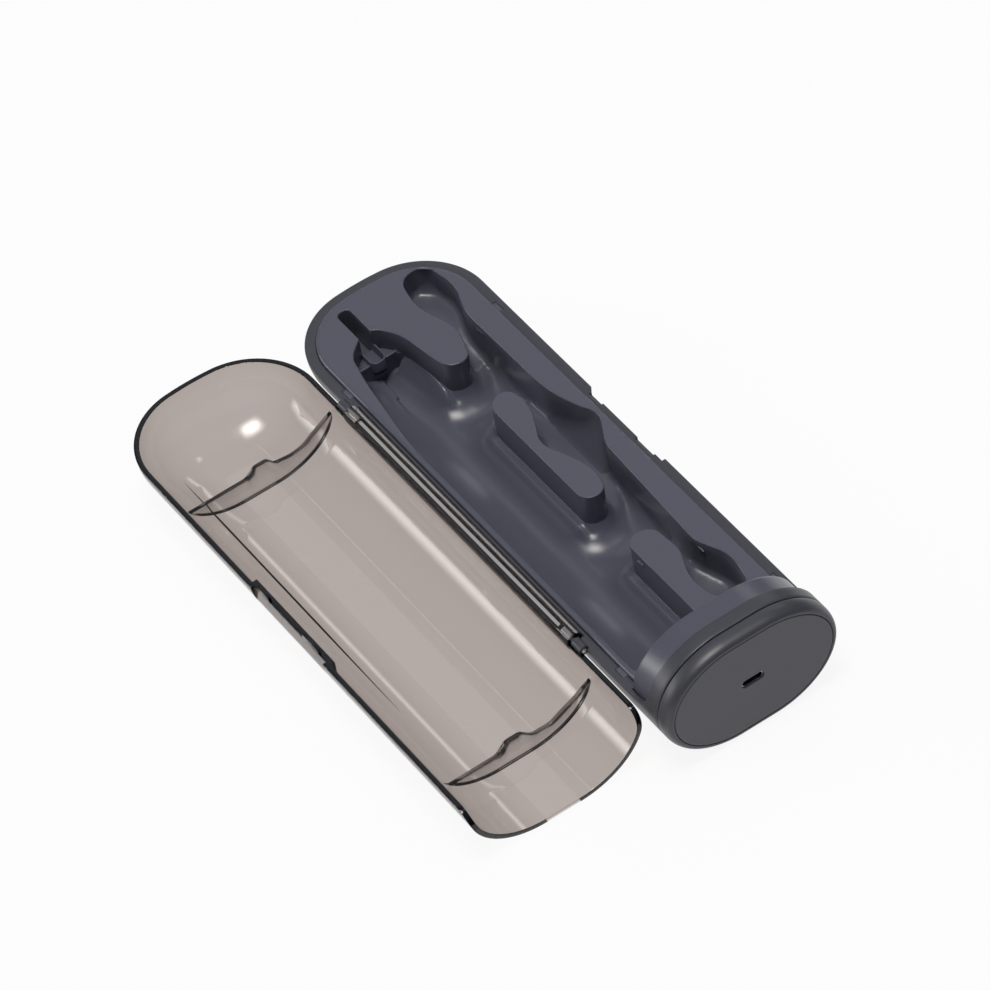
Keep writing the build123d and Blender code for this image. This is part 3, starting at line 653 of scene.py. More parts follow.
def lidShell():
    ears = [(hinge["notchU"][0] - hinge["earLength"] - hinge["gap"], hinge["notchU"][0] + hinge["gap"]),
            (hinge["notchU"][1] - hinge["gap"], hinge["notchU"][1] + hinge["earLength"] + hinge["gap"])]
    thick = (latch["thumbU"][0] - 2, latch["thumbU"][1] + 2)
    breaks = sorted({*ears[0], *ears[1], *latch["thumbU"], *thick})
    cols = shellColumns(breaks)
    thumb = within(cols, -1, latch["thumbU"])
    thickened = within(cols, -1, thick)
    ear = within(cols, 1, ears[0]) | within(cols, 1, ears[1])

    def limit(h, w, inset):
        scoop = hinge["axisOut"] - np.sqrt(np.clip(hinge["scoopR"] ** 2 - w * w, 0, None))
        scoop = np.where(np.abs(w) < hinge["scoopR"], scoop, 99.0)
        h = np.where(thumb & (inset < 1.5), np.minimum(h, latch["thumbOut"] - inset), h)
        h = np.where(thickened & (inset > 1), np.minimum(h, lid["thumbInner"] + 2 - inset), h)
        return np.where(ear & (inset < 1.5), np.minimum(h, scoop - inset * 0.5), h)

    def rowAt(inset):
        return lambda w: limit(podOut(w, inset), w, inset)

    r = lid["round"]
    angles = np.radians([30, 60, 90])
    band = [(r * (1 - math.cos(a)), r * (1 - math.sin(a))) for a in angles]
    band += [(2 - x, y) for x, y in band[::-1]]
    spec = {"sense": -1, "radius": 7.8, "round": r, "innerBack": r, "gap": lid["gap"],
            "sideW": [5.7, 4.3, 3.2, 2.5, 2.2, 1.8, 1.4, 1.0],
            "band": [{"inset": x, "back": y, "h": rowAt(x)} for x, y in band]}
    bag = shellHalf(spec, cols, [], limit)
    for points in bag["points"]:
        points[:, 1] += lidV
    return pieceFrom("lidShell", bag, "smoked_clear", "lid", ["lid_shell"], 40)


# Bar along the hinge line: a round section, cut flat on the lid's side between the knuckles.
def lidBar():
    bag = newBag()
    r, flat = hinge["knuckleR"], hinge["flatW"]
    a = np.concatenate([np.linspace(-math.pi / 2, math.pi / 2, 25), [math.pi / 2],
                        np.linspace(math.pi / 2, 3 * math.pi / 2, 25)[1:]])
    v, w = r * np.cos(a), r * np.sin(a)
    cut = a > math.pi / 2
    cut[25] = True
    wCut = np.where(cut, np.minimum(w, flat), w)
    vCut = np.where(cut & (w > flat), np.maximum(v, -math.sqrt(r * r - flat * flat)), v)
    vCut[25] = 0.0
    low, high = hinge["notchU"][0] + hinge["gap"], hinge["notchU"][1] - hinge["gap"]
    ends = (low + hinge["knuckle"], high - hinge["knuckle"])
    rings = []
    for u, scale, useCut in ((low, 0, 0), (low, 1 - 0.25 / r, 0), (low + 0.25, 1, 0),
                             (ends[0] - 0.3, 1, 0), (ends[0], 1, 1),
                             *[(x, 1, 1) for x in np.linspace(*ends, 12)[1:-1]], (ends[1], 1, 1),
                             (ends[1] + 0.3, 1, 0), (high - 0.25, 1, 0), (high, 1 - 0.25 / r, 0),
                             (high, 0, 0)):
        a0, b0 = (vCut, wCut) if useCut else (v, w)
        rings.append(np.stack([np.full(len(a), u), hingeV + a0 * scale, b0 * scale], -1))
    addGrid(bag, np.stack(rings), closeColumns=True)
    return pieceFrom("lidHingeBar", bag, "smoked_painted_lighter", "lid", (), 30)


# A rib across the lid: its free edge is a line of corners and arcs, its foot follows the inside of the shell.
def lidRib(name, rib):
    bag = newBag()
    line = rounded(rib["edge"], 0.3, closed=False)
    line = line[np.argsort(-line[:, 0])]
    v = np.linspace(*lid["ribV"], 280)
    top = np.interp(-v, line[::-1, 0], line[::-1, 1])
    inset = case["wall"] - 0.25
    base = -lidInside(v, inset)
    top = np.minimum(top, base)
    keep = base - top > 0.02
    keep |= np.roll(keep, 1) | np.roll(keep, -1)
    v, top, base = v[keep], top[keep], base[keep]
    top[[0, -1]] = base[[0, -1]]
    r = 0.3
    rows = []
    depth = base - top
    for du, drop in ((0, 1.0), (0, None), (r * 0.13, r * 0.5), (r * 0.5, r * 0.13), (r, 0),
                     (lid["ribThick"] - r, 0),
                     (lid["ribThick"] - r * 0.5, r * 0.13), (lid["ribThick"] - r * 0.13, r * 0.5),
                     (lid["ribThick"], None), (lid["ribThick"], 1.0)):
        w = base if drop == 1.0 else top + np.minimum(r if drop is None else drop, depth)
        at = np.full(len(v), rib["u"] + du)
        at[[0, -1]] = rib["u"] + lid["ribThick"] / 2
        rows.append(np.stack([at, lidV + v, -w], -1))
    addGrid(bag, np.stack(rows), closeRows=True)
    return pieceFrom("lidRib" + name, bag, "smoked_painted_lighter", "lid", (), 40)


# A block with rounded edges: a superellipse section swept between rounded ends.
def softBlock(bag, low, high, r):
    low, high = np.asarray(low, float), np.asarray(high, float)
    middle, half = (low + high) / 2, (high - low) / 2
    a = np.linspace(0, 2 * math.pi, 32, endpoint=False) + math.pi / 32
    corner = np.sign(np.stack([np.cos(a), np.sin(a)], 1))
    turn = np.stack([np.cos(a), np.sin(a)], 1)
    rings = []
    for b in np.linspace(-math.pi / 2, math.pi / 2, 8):
        spread = corner * (half[1:] - r) + turn * r * math.cos(b)
        rings.append(np.column_stack([np.full(32, math.copysign(half[0] - r, b) + r * math.sin(b)), spread]))
    rings = [np.column_stack([np.full(32, -half[0]), np.zeros((32, 2))]), *rings,
             np.column_stack([np.full(32, half[0]), np.zeros((32, 2))])]
    addGrid(bag, np.stack(rings) + middle, closeColumns=True)


# Height of the lid's inside under a point across it.
def lidInside(v, inset):
    side = np.maximum(np.abs(v) - case["flatHalf"], 0)
    return -(tall - inset) * np.sqrt(np.clip(1 - (side / (cornerR - inset)) ** 2, 0, 1))


# A round bead along a line, r thick where share is 1: ring = centre + r share (side cos + up sin).
def beadAlong(bag, line, share, r, side, up):
    a = np.linspace(0, 2 * math.pi, 10, endpoint=False)
    turn = side[:, None] * np.cos(a)[None, :, None] + up[:, None] * np.sin(a)[None, :, None]
    addGrid(bag, line[:, None] + turn * (r * share)[:, None, None], closeColumns=True)


# The beads at the feet of both ribs, and the long one along the lid's floor, which tapers away at its ends.
# They are finished near-black: painted shade, dark lines standing in for the shade seen along them in the
# clear plastic.
def lidShadeBeads():
    bag = newBag()
    for rib in lid["ribs"].values():
        v = np.linspace(*lid["lineV"], 240)
        line = rounded(rib["edge"], 0.3, closed=False)
        line = line[np.argsort(line[:, 0])]
        deep = -lidInside(v, case["wall"]) - np.interp(-v, line[:, 0], line[:, 1])
        v = v[deep > 0.4]
        w = lidInside(v, case["wall"])
        for u in (rib["u"], rib["u"] + lid["ribThick"]):
            points = np.column_stack([np.full(len(v), u), lidV + v, w])
            run = np.gradient(points, axis=0)
            run /= np.linalg.norm(run, axis=1)[:, None]
            side = np.tile((1.0, 0, 0), (len(v), 1))
            share = np.clip(np.minimum(np.arange(len(v)), np.arange(len(v))[::-1]) / 6, 0, 1)
            beadAlong(bag, points, share, lid["lineR"], side, np.cross(run, side))
    bead = lid["bead"]
    u = np.linspace(*bead["u"], 120)
    near, far = bead["taper"]
    share = np.clip(np.minimum((u - u[0]) / near, (u[-1] - u) / far), 0, 1) ** 0.7
    points = np.column_stack([u, np.full(len(u), lidV + bead["v"]),
                              np.full(len(u), lidInside(bead["v"], case["wall"]))])
    side, up = np.tile((0, 1.0, 0), (len(u), 1)), np.tile((0, 0, 1.0), (len(u), 1))
    beadAlong(bag, points, share, bead["r"], side, up)
    return pieceFrom("lidShadeBeads", bag, "painted_shade_black", "lid", (), 60)


def lidHooks():
    bag = newBag()
    for a, b in latch["hookU"]:
        softBlock(bag, (a, lidV - lid["hookOut"], -4.5),
                  (b, lidV - lid["hookOut"] + lid["hookThick"], lid["hookRise"]), 0.2)
    return pieceFrom("lidHooks", bag, "smoked_clear", "lid", (), 50)


# Insert.

insert = {
    "top": 1.5,
    "edgeInset": 4.25,
    "edgeRound": 1.35,
    "lip": 0.45,  # rounding of the recess's upper edge
    "skin": 4.2,
    "under": 2.35,  # its underside stands this far inside the pod's outside
    "recess": (
        (222.5, -29.5, 5.0), (79.5, -29.5, 120.0), (45.6, -25.0, 40.0), (31.3, -22.0, 10.9),
        (21.7, -10.5, 6.1), (33.4, -2.4, 25.5), (50.0, -0.1, 40.0), (59.2, 1.5, 6.3), (60.1, 10.6, 4.8),
        (44.4, 15.1, 16.1), (25.9, 9.7, 25.0), (10.8, 12.4, 6.8), (9.5, 23.6, 6.1), (26.1, 26.5, 20.0),
        (40.2, 21.5, 24.8), (92.6, 22.2, 60.1), (105.8, 26.9, 9.0), (112.1, 30.4, 9.1), (126.1, 23.3, 16.4),
        (184.3, 20.8, 14.0), (197.7, 26.7, 14.9), (213.6, 23.5, 8.1), (216.1, 13.9, 4.8), (199.7, 8.3, 25.5),
        (184.3, 14.8, 14.1), (169.1, 13.5, 6.0), (166.2, 2.0, 5.6), (222.5, 2.0, 5.0),
    ),
    "island": ((84.2, 2.0, 6.6), (77.7, 12.6, 4.8), (94.3, 13.3, 16.2), (111.1, 5.8, 10.3),
               (132.0, 13.9, 22.5), (145.0, 11.3, 4.8), (144.1, 2.0, 5.0)),
    "ledgeU": 31.8,
    "ledgeW": -8.0,
    "slotV": (-15.1, -9.7),
    "slotU": 10.0,
    "slotR": 2.2,
    "slotFloor": -12.5,
    "pocketMiddle": (22, -12, 0),
    "troughTop": -5.6,
    "troughStart": 23.2,
    "troughEnd": 33.9,
    "troughWall": 0.7,
    "fillet": 2.6,
    "gapFillet": 3.6,  # the outer wall's fillet is this much larger in the gaps between the islands
    "raisedW": -15.2,
    "gapW": -18.4,
    "slope": 8.5,
    "skirt": (2.4, 4.6),  # the islands' walls flare out at their feet, more on the handle's side
    "walkFrom": (150, -29.5),
    "mouthBack": 2.2,
    "mouthR": 8.0,  # the channel starts under the ledge as a half round
    "mouthV": -12.4,
    "channelR": 12.0,
    "channelV": -13.75,
    "flareEnd": 62.0,
    "farRest": ((0, 14, 34, 52, 62), (-9.2, -10.2, -10.8, -15.2, -30)),  # heights of the brush rests, along u
    "footRest": ((0, 164, 168, 184, 204, 240), (-30, -30, -15.2, -12.2, -15.5, -16.2)),
    "benchV": 20.0,  # a sloping bench by the middle rest
    "benchW": -17.2,
    "benchSlope": 1.35,
    "benchRise": (62, 90),
    "benchFall": (124, 132),
    "pips": ((46.0, 21.9, 5.0), (185.0, 21.6, 3.5), (176.5, 1.75, 3.5)),
    "tabV": (30.9, 33.5),  # its tabs sit in notches of the tray
}


# Outlines round the raised parts of the recess floor: the tongue with the far brush rest, the island with the
# middle one, and the foot's island with the last.
raised = [
    ((8, -9, 0), (42, -7.5, 8), (55, -5.0, 8), (61.4, 0.0, 6), (62.6, 8, 6), (57.5, 16, 6), (46, 21.5, 4),
     (40, 40, 0), (8, 40, 0)),
    ((75.5, 9, 6), (82, -4.2, 9), (138, -4.4, 7), (147.2, 2.0, 5), (146.6, 9.5, 5), (139, 18.5, 4),
     (131.5, 22, 4), (128, 40, 0), (84, 40, 0)),
    ((163.5, 7, 6), (167, -4.2, 9), (232, -4.4, 0), (232, 40, 0), (184, 40, 0), (180, 19, 5)),
]


def softMin(a, b, k):
    return -softMax(-a, -b, k)


sunk = 40  # so far below the floor that a part has no say in its height


# Height of the recess floor. The handle's channel is a round trough that widens from the ledge on, the raised
# parts stand beside it and drop to the gaps over a short slope, and fillets grow with nearness to the walls.
def floorHeight(u, v, near):
    spot = np.column_stack([u, v])
    away = np.full(len(spot), 99.0)
    for shape in raised:
        line = rounded(shape, 1.0)
        away = np.minimum(away, np.where(inside(spot, line), 0, distance(spot, line)))
    high, low = insert["raisedW"], insert["gapW"]
    level = low + (high - low) * np.clip(1 - away / insert["slope"], 0, 1) ** 2
    flare = smoothStep(u, insert["ledgeU"], insert["flareEnd"])
    radius = insert["mouthR"] + (insert["channelR"] - insert["mouthR"]) * flare
    middle = insert["mouthV"] + (insert["channelV"] - insert["mouthV"]) * flare
    x = v - middle
    trough = insert["ledgeW"] - np.sqrt(np.clip(radius ** 2 - x ** 2, 0, None))
    trough += np.where(x > 0, 2.5, 0.1) * np.maximum(np.abs(x) - radius, 0)
    farRest = np.interp(u, *insert["farRest"])
    footRest = np.interp(u, *insert["footRest"])
    rise, fall = insert["benchRise"], insert["benchFall"]
    bench = (insert["benchW"] + insert["benchSlope"] * (v - insert["benchV"])
             - sunk * (1 - smoothStep(u, *rise)) - sunk * smoothStep(u, *fall))
    brush = softMax(level, np.maximum(farRest, footRest) + sunk * np.minimum(v - 4.0, 0) / 4, 1.5)
    brush = softMax(brush, bench, 0.8)
    floor = np.where(x < 0, trough, softMin(trough, brush, 3.2))
    r = insert["fillet"] + insert["gapFillet"] * smoothStep(away, 0, 6) * (v > 12)
    d = np.clip(near, 0, r)
    curve = r - np.sqrt(np.clip(r * r - (r - d) ** 2, 0, None))
    wide = insert["skirt"][0] + (insert["skirt"][1] - insert["skirt"][0]) * smoothStep(-v, -2, 1)
    skirt = (softMax(np.zeros(len(spot)), 1.3 * (wide - near), 1.0)
             * (np.abs(v - 6) < 14) * (u > insert["ledgeU"] + 2))
    return softMax(podFloor(u, v, insert["skin"]),
                   floor + np.where(v < 14.5, np.maximum(curve, skirt), curve), 1.0)


def trayInsert():
    bag = newBag()
    top, lip = insert["top"], insert["lip"]
    spacing = 0.15
    recess = evenly(rounded(insert["recess"], 0.2), spacing)
    if area(recess) > 0:
        recess = recess[::-1]
    island = evenly(rounded(insert["island"], 0.2), 0.55)
    if area(island) < 0:
        island = island[::-1]
    v0, v1 = insert["slotV"]
    mouth = insert["ledgeU"]

    # the recess walked so that the ledge's pocket comes last
    turn = int(np.argmin(np.hypot(*(recess - insert["walkFrom"]).T)))
    recess = np.roll(recess, -turn, 0)
    crossing = np.where((recess[:, 0] < mouth) & (recess[:, 1] < 0))[0]
    low, high = crossing[0], crossing[-1]
    back = int(insert["mouthBack"] / spacing)
    pocket = recess[low - back:high + back + 1]
    rest = np.concatenate([recess[high + back:], recess[:low - back + 1]])
    ends = np.array([rest[-1], (mouth, recess[low, 1]), (mouth, recess[high, 1]), rest[0]])
    s = np.linspace(0, 1, 12)[:, None]

    def bend(a, b, c):
        return (1 - s) ** 2 * a + 2 * s * (1 - s) * b + s * s * c
    inward = np.sign(ends[2, 1] - ends[1, 1])
    p, q = np.array((mouth, ends[1, 1] + inward * 2.0)), np.array((mouth, ends[2, 1] - inward * 2.0))
    front = np.concatenate([bend(ends[0], ends[1], p), evenly(np.array([p, q]), 0.3, False)[1:-1],
                            bend(q, ends[2], ends[3])])
    channel = np.concatenate([evenly(rest, 0.5, False), front[1:-1]])
    frontCount = len(front) - 2
    isFront = np.zeros(len(channel), bool)
    isFront[-frontCount:] = True
    soft = evenly(rest, 0.3, False)

    # the slot's outline joined to the pocket's: the plateau's edge goes round both
    pocket = evenly(pocket, 0.3, False)
    along = np.where((pocket[:, 1] - v0) * (np.roll(pocket[:, 1], -1) - v0) <= 0)[0][0]
    along2 = np.where((pocket[:, 1] - v1) * (np.roll(pocket[:, 1], -1) - v1) <= 0)[0][0]
    a, b = sorted((along, along2))
    va, vb = (v0, v1) if a == along else (v1, v0)
    slotU, slotR = insert["slotU"], insert["slotR"]
    slotLine = rounded([(*pocket[a][:1], va, 0), (slotU, va, slotR), (slotU, vb, slotR),
                        (*pocket[b + 1][:1], vb, 0)], 0.2, closed=False)
    union = rounded([(*p, 0) for p in pocket[:a + 1]] + [(pocket[a][0] - 0.3, va, 0.25)]
                    + [(*p, 0) for p in slotLine[1:-1]] + [(pocket[b + 1][0] - 0.3, vb, 0.25)]
                    + [(*p, 0) for p in pocket[b + 1:]], 0.1, closed=False)
    edge = np.concatenate([evenly(rest, 0.5, False), evenly(union, 0.4, False)[1:-1]])
    slotShape = rounded([(slotU, v0, slotR), (mouth + 1, v0, 0), (mouth + 1, v1, 0), (slotU, v1, slotR)])

    # rounding of the upper edges
    rolled = np.radians([0, 18, 36, 54, 72, 90])
    plateauLines = []
    for line in (edge, island):
        away = normals(line)  # out of the recess, into the plateau
        rows = [(-lip - 0.25, top),
                *[(-lip + lip * math.sin(t), top - lip + lip * math.cos(t)) for t in rolled]]
        rings = [np.column_stack([line - away * d, np.full(len(line), w)]) for d, w in rows]
        plateauLines.append(rings[0][:, :2])
        facing(bag, skyward, addGrid, np.stack(rings), closeColumns=True)
    edgeTop = top - lip

    slotWall = ((edge[:, 1] > min(v0, v1) - 0.06) & (edge[:, 1] < max(v0, v1) + 0.06)
                & (edge[:, 0] < mouth - 2))
    isPocket = np.arange(len(edge)) >= len(evenly(rest, 0.5, False))
    deep = np.where(slotWall, insert["slotFloor"], insert["ledgeW"])
    strip = np.where(isPocket | np.roll(isPocket, -1) | np.roll(isPocket, 1))[0]
    strip = np.concatenate([strip[strip > len(edge) // 2], strip[strip <= len(edge) // 2]])
    pocketWall = np.stack([np.column_stack([edge[strip], np.full(len(strip), edgeTop)]),
                           np.column_stack([edge[strip], deep[strip]])])
    facing(bag, lambda p: insert["pocketMiddle"] - p, addGrid, pocketWall)

    # channel and island walls, their fillets, and the floor between them
    loops = (0, 0.12, 0.35, 0.7, 1.15, 1.7)
    inner = []
    for line, sense in ((channel, 1), (island, -1)):
        n = normals(line)
        into = -n if area(line) < 0 else n  # into the closed line
        into = into * sense
        rings = []
        wallTop = np.full(len(line), edgeTop)
        if sense > 0:
            wallTop = np.where(isFront, insert["ledgeW"], wallTop)
            hidden = isFront & (line[:, 1] > v0 - 0.35) & (line[:, 1] < v1 + 0.35)
            wallTop = np.where(hidden, insert["ledgeW"] - 2.0, wallTop)
        rings.append(np.column_stack([line, wallTop]))
        for d in loops:
            p = line + into * d
            near = np.minimum(distance(p, soft, False), distance(p, island))
            near = np.where(isFront, near, d) if sense > 0 else np.full(len(p), d)
            rings.append(np.column_stack([p, floorHeight(*p.T, near)]))
        rings[0][:, 2] = np.maximum(rings[0][:, 2], rings[1][:, 2])
        facing(bag, skyward, addGrid, np.stack(rings), closeColumns=True)
        inner.append(rings[-1])
    step = 0.95
    gu, gv = np.meshgrid(np.arange(8, 224, step), np.arange(-31, 32, step * 0.87), indexing="ij")
    gu = gu + (np.arange(gv.shape[1]) % 2)[None] * step / 2
    grid = np.column_stack([gu.ravel(), gv.ravel()])
    outerLoop, innerLoop = inner[0][:, :2], inner[1][:, :2]
    grid = grid[inside(grid, outerLoop) & ~inside(grid, innerLoop)]
    far = np.minimum(distance(grid, outerLoop), distance(grid, innerLoop))
    grid = grid[far > 0.5]
    flat, faces = filled([outerLoop, innerLoop], grid,
                         lambda m: inside(m, outerLoop) & ~inside(m, innerLoop))
    near = np.minimum(distance(flat, soft, False), distance(flat, island))
    height = floorHeight(*flat.T, near)
    facing(bag, skyward, addFaces, np.column_stack([flat, height]), faces.tolist())
    print("recess floor", len(faces))

    # ledge floor and slot floor
    ledgeLine = np.concatenate([evenly(pocket, 0.4, False), front[::-1][1:-1]])
    facing(bag, skyward, levelPatch, insert["ledgeW"], ledgeLine, slotShape)
    facing(bag, skyward, levelPatch, insert["slotFloor"], slotShape)

    # plateau, its rolled outer edge, and the skin below
    outer = plateauOutline()
    r = insert["edgeRound"]
    n = normals(outer)
    n = n if area(outer) > 0 else -n  # inward
    rows = [(r + 0.3, top),
            *[(r - r * math.sin(t), top - r + r * math.cos(t)) for t in np.radians(np.linspace(0, 90, 9))],
            (0, None)]
    rings = []
    footEnd = outer[:, 0] > case["bulkheadU"] - 1e-6
    for d, w in rows:
        p = outer + n * d
        p[:, 0] = np.where(footEnd, case["bulkheadU"], np.minimum(p[:, 0], case["bulkheadU"]))
        level = podFloor(*p.T, insert["under"]) if w is None else np.full(len(p), w)
        rings.append(np.column_stack([p, level]))
    facing(bag, skyward, addGrid, np.stack(rings), closeColumns=True)
    facing(bag, skyward, levelPatch, top, rings[0][:, :2], plateauLines[0])
    facing(bag, skyward, levelPatch, top, plateauLines[1])
    below = rings[-1][:, :2]
    gu, gv = np.meshgrid(np.arange(6, 222, 5.0), np.arange(-30, 31, 2.5), indexing="ij")
    grid = np.column_stack([gu.ravel(), gv.ravel()])
    grid = grid[inside(grid, below) & (distance(grid, below) > 1)]
    flat, faces = filled([below], grid, lambda m: inside(m, below))
    facing(bag, (0, 0, -1), addFaces, np.column_stack([flat, podFloor(*flat.T, insert["under"])]),
           faces[:, ::-1].tolist())
    return bag


# The insert seen from above: the pod drawn in, cut square where the neck of the foot starts.
def plateauOutline():
    r = cornerR - insert["edgeInset"]
    wide = case["flatHalf"] + r
    a = np.linspace(0, math.pi / 2 - noseTurn, 40)
    corner = np.stack([cornerU - r * np.sin(a), case["flatHalf"] + r * np.cos(a)], 1)
    b = np.linspace(noseTurn, -noseTurn, 12)[1:-1]
    bow = case["endBow"] - insert["edgeInset"]
    nose = np.stack([case["endBow"] - bow * np.cos(b), bow * np.sin(b)], 1)
    end = case["bulkheadU"]
    runs = np.linspace(end, cornerU, 60)[:-1]
    upper = np.stack([runs, np.full(len(runs), wide)], 1)
    return np.concatenate([upper, corner, nose, (corner * (1, -1))[::-1], (upper * (1, -1))[::-1]])


# A closed oval of the case's section, drawn in by inset: points all the way round, from the crown.
def ovalRing(u, inset, count=160):
    a = np.linspace(0, 2 * math.pi, count, endpoint=False)
    c, s = np.cos(a), np.sin(a)
    side = np.where(np.abs(s) < 1e-9, 0, np.sign(s))
    v = side * case["flatHalf"] + (cornerR - inset) * s
    return np.stack([np.full(count, u), v, (tall - inset) * c], -1)


neck = {"inset": 2.2, "wall": 2.2, "endU": 241.5, "scoopU": 235.2, "drop": 1.9, "edge": 0.7, "bayU": 226.5,
        "shut": 23.9,  # an oval drawn in this far is closed but for a slit
        "boardPosts": ((-16.5, 10.4), (0.5, -10.4), (16.5, 10.4), (16.5, -10.4)),
        "capPosts": [(v, w) for v in (-22.5, 22.5) for w in (-10.5, 10.5)]}


# Neck of the foot: an oval tube whose front is scooped lower than its crown, closed by the bulkhead.
def neckTube(bag):
    stations = [(neck["shut"], 0), (neck["inset"] + neck["edge"] + 3, 0), (neck["inset"] + neck["edge"], 0),
                (neck["inset"] + neck["edge"] * 0.5, neck["edge"] * 0.13),
                (neck["inset"] + neck["edge"] * 0.13, neck["edge"] * 0.5), (neck["inset"], neck["edge"])]
    rings = []
    span = neck["scoopU"] - case["bulkheadU"]
    for inset, du in stations + [(neck["inset"], d) for d in (*np.linspace(1.5, span, 10), 13.5, 16.4)] + [
            (neck["inset"] + 0.3, neck["endU"] - case["bulkheadU"])]:
        share = np.clip(du / span, 0, 1)
        drop = neck["drop"] * (1 - share)
        ring = ovalRing(case["bulkheadU"] + du, inset)
        ring[:, 2] *= np.where(ring[:, 2] > 0, 1 - drop / (tall - neck["inset"]), 1)
        rings.append(ring)
    bayInset = neck["inset"] + neck["wall"]
    rings += [ovalRing(neck["endU"], bayInset), ovalRing(neck["bayU"], bayInset),
              ovalRing(neck["bayU"], neck["shut"])]
    addGrid(bag, np.stack(rings), closeColumns=True)


# A round tube along the case, with a blind hole from its far side.
def postInto(bag, u0, u1, v, w, radius, hole, depth):
    a = np.linspace(0, 2 * math.pi, 28, endpoint=False)
    rows = [(u0, 0), (u0, radius), (u1 - 0.15, radius), (u1, radius - 0.15), (u1, hole),
            (u1 - depth, hole), (u1 - depth, 0)]
    rings = [np.stack([np.full(28, u), v + r * np.cos(a), w + r * np.sin(a)], -1) for u, r in rows]
    addGrid(bag, np.stack(rings), closeColumns=True)


def insertPiece():
    bag = trayInsert()
    facing(bag, None, neckTube)
    for v, w in neck["boardPosts"]:
        facing(bag, None, postInto, neck["bayU"], 236.2, v, w, 2.1, 0.9, 4.0)
    for v, w in neck["capPosts"]:
        facing(bag, None, postInto, neck["bayU"], 244.6, v, w, 2.3, 1.1, 6.0)
    for u, v, length in insert["pips"]:
        facing(bag, None, softBlock, (u, v - 0.45, -1.9), (u + length, v + 0.35, -1.2), 0.3)
    for u in tray["tabU"]:
        for side in (-1, 1):
            v = sorted(side * x for x in insert["tabV"])
            facing(bag, None, softBlock, (u - 2.5, v[0], -1.0), (u + 2.5, v[1], -0.04), 0.12)
    trough(bag)
    return pieceFrom("trayInsert", bag, "charcoal_insert", "case", ["tray_insert"], 32, closed=False)


# The shaft's slot goes on through the ledge as a trough with thin walls and a round end, beside two low ribs.
def trough(bag):
    v0, v1 = insert["slotV"]
    thick, top, end = insert["troughWall"], insert["troughTop"], insert["troughEnd"]
    start = insert["troughStart"]
    inner = rounded([(start, v0 + 0.03, 0), (end - thick, v0 + 0.03, 2.0), (end - thick, v1 - 0.03, 2.0),
                     (start, v1 - 0.03, 0)], 0.2, closed=False)
    inner = evenly(inner, 0.25, False)
    tangent = np.gradient(inner, axis=0)
    tangent /= np.linalg.norm(tangent, axis=1)[:, None]
    out = np.stack([tangent[:, 1], -tangent[:, 0]], 1)
    if np.sum(out[len(out) // 2] * (1, 0)) < 0:
        out = -out
    floor, bottom = insert["ledgeW"] - 1.7, insert["ledgeW"] - 2.3
    rows = [(0, floor), (0, top - 0.15), (0.05, top - 0.04), (0.15, top), (thick - 0.15, top),
            (thick - 0.05, top - 0.04), (thick, top - 0.15), (thick, bottom)]
    points = np.stack([np.column_stack([inner + out * d, np.full(len(inner), w)]) for d, w in rows])
    facing(bag, skyward, addGrid, points)
    half = (len(inner) + 1) // 2
    shell = inner + out * thick
    for line, w, toward in ((inner, floor, skyward), (shell, bottom, (0, 0, -1))):
        pair = np.stack([line[:half], line[::-1][:half]])
        facing(bag, toward, addGrid, np.concatenate([pair, np.full((2, half, 1), w)], -1))
    step = [[(start, v, w) for v in (v0, v1)] for w in (floor, insert["slotFloor"])]
    facing(bag, (-1, 0, 0), addGrid, np.array(step))
    for low, high in ((-20.6, v0 - thick + 0.1), (v1 + thick - 0.1, -2.6)):
        facing(bag, None, softBlock, (insert["ledgeU"] - 1.25, low, insert["ledgeW"] - 1.2),
               (insert["ledgeU"] + 0.05, high, insert["ledgeW"] + 0.75), 0.3)


cap = {"startU": 242.4, "round": (2.2, 4.4), "plateInset": 2.9, "plateThick": 1.8, "web": 2.2,
       "spigotInset": 4.6, "spigotWall": 1.2, "spigotReach": 5.0}
port = {"at": (-0.5, 0.7), "size": (8.94, 3.26), "clear": 0.2}


# A ring of the port's shape matched point by point to an oval ring.
def portRing(u, grow, count=160):
    a = np.linspace(0, 2 * math.pi, count, endpoint=False)
    c, s = np.cos(a), np.sin(a)
    half, r = (port["size"][0] - port["size"][1]) / 2, port["size"][1] / 2 + grow
    x, y = s, c
    reachTop = r / np.maximum(np.abs(y), 1e-9)
    onFlat = np.abs(x) * reachTop <= half
    dot = half * np.abs(x)
    reachEnd = dot + np.sqrt(np.maximum(dot * dot - half * half + r * r, 0))
    reachHere = np.where(onFlat, reachTop, reachEnd)
    return np.stack([np.full(count, u), port["at"][0] + x * reachHere, port["at"][1] + y * reachHere], -1)


def endCap():
    bag = newBag()
    length, start = case["length"], cap["startU"]
    web = length - cap["plateThick"]
    turn = np.linspace(0, math.pi / 2, 12)
    rows = [(start + 0.2, 0), *[(length - cap["round"][1] * (1 - math.sin(t)),
                                 cap["round"][0] * (1 - math.cos(t)))
                                for t in turn],
            (length - 0.05, 2.62), (length - 0.12, 2.7), (web, 2.7)]
    rings = [ovalRing(u, inset) for u, inset in rows]
    hole = 0.4 + port["clear"]
    rings += [portRing(web, hole), portRing(web - cap["web"], hole),
              ovalRing(web - cap["web"], cap["spigotInset"] + cap["spigotWall"]),
              ovalRing(start - cap["spigotReach"], cap["spigotInset"] + cap["spigotWall"]),
              ovalRing(start - cap["spigotReach"], cap["spigotInset"] + 0.2),
              ovalRing(start - cap["spigotReach"] + 0.3, cap["spigotInset"]),
              ovalRing(start, cap["spigotInset"]), ovalRing(start, 0.2), ovalRing(start + 0.06, 0.06)]
    addGrid(bag, np.stack(rings), closeColumns=True, closeRows=True)
    return pieceFrom("endCap", bag, "charcoal_shell", "case", ["end_cap"], 30)


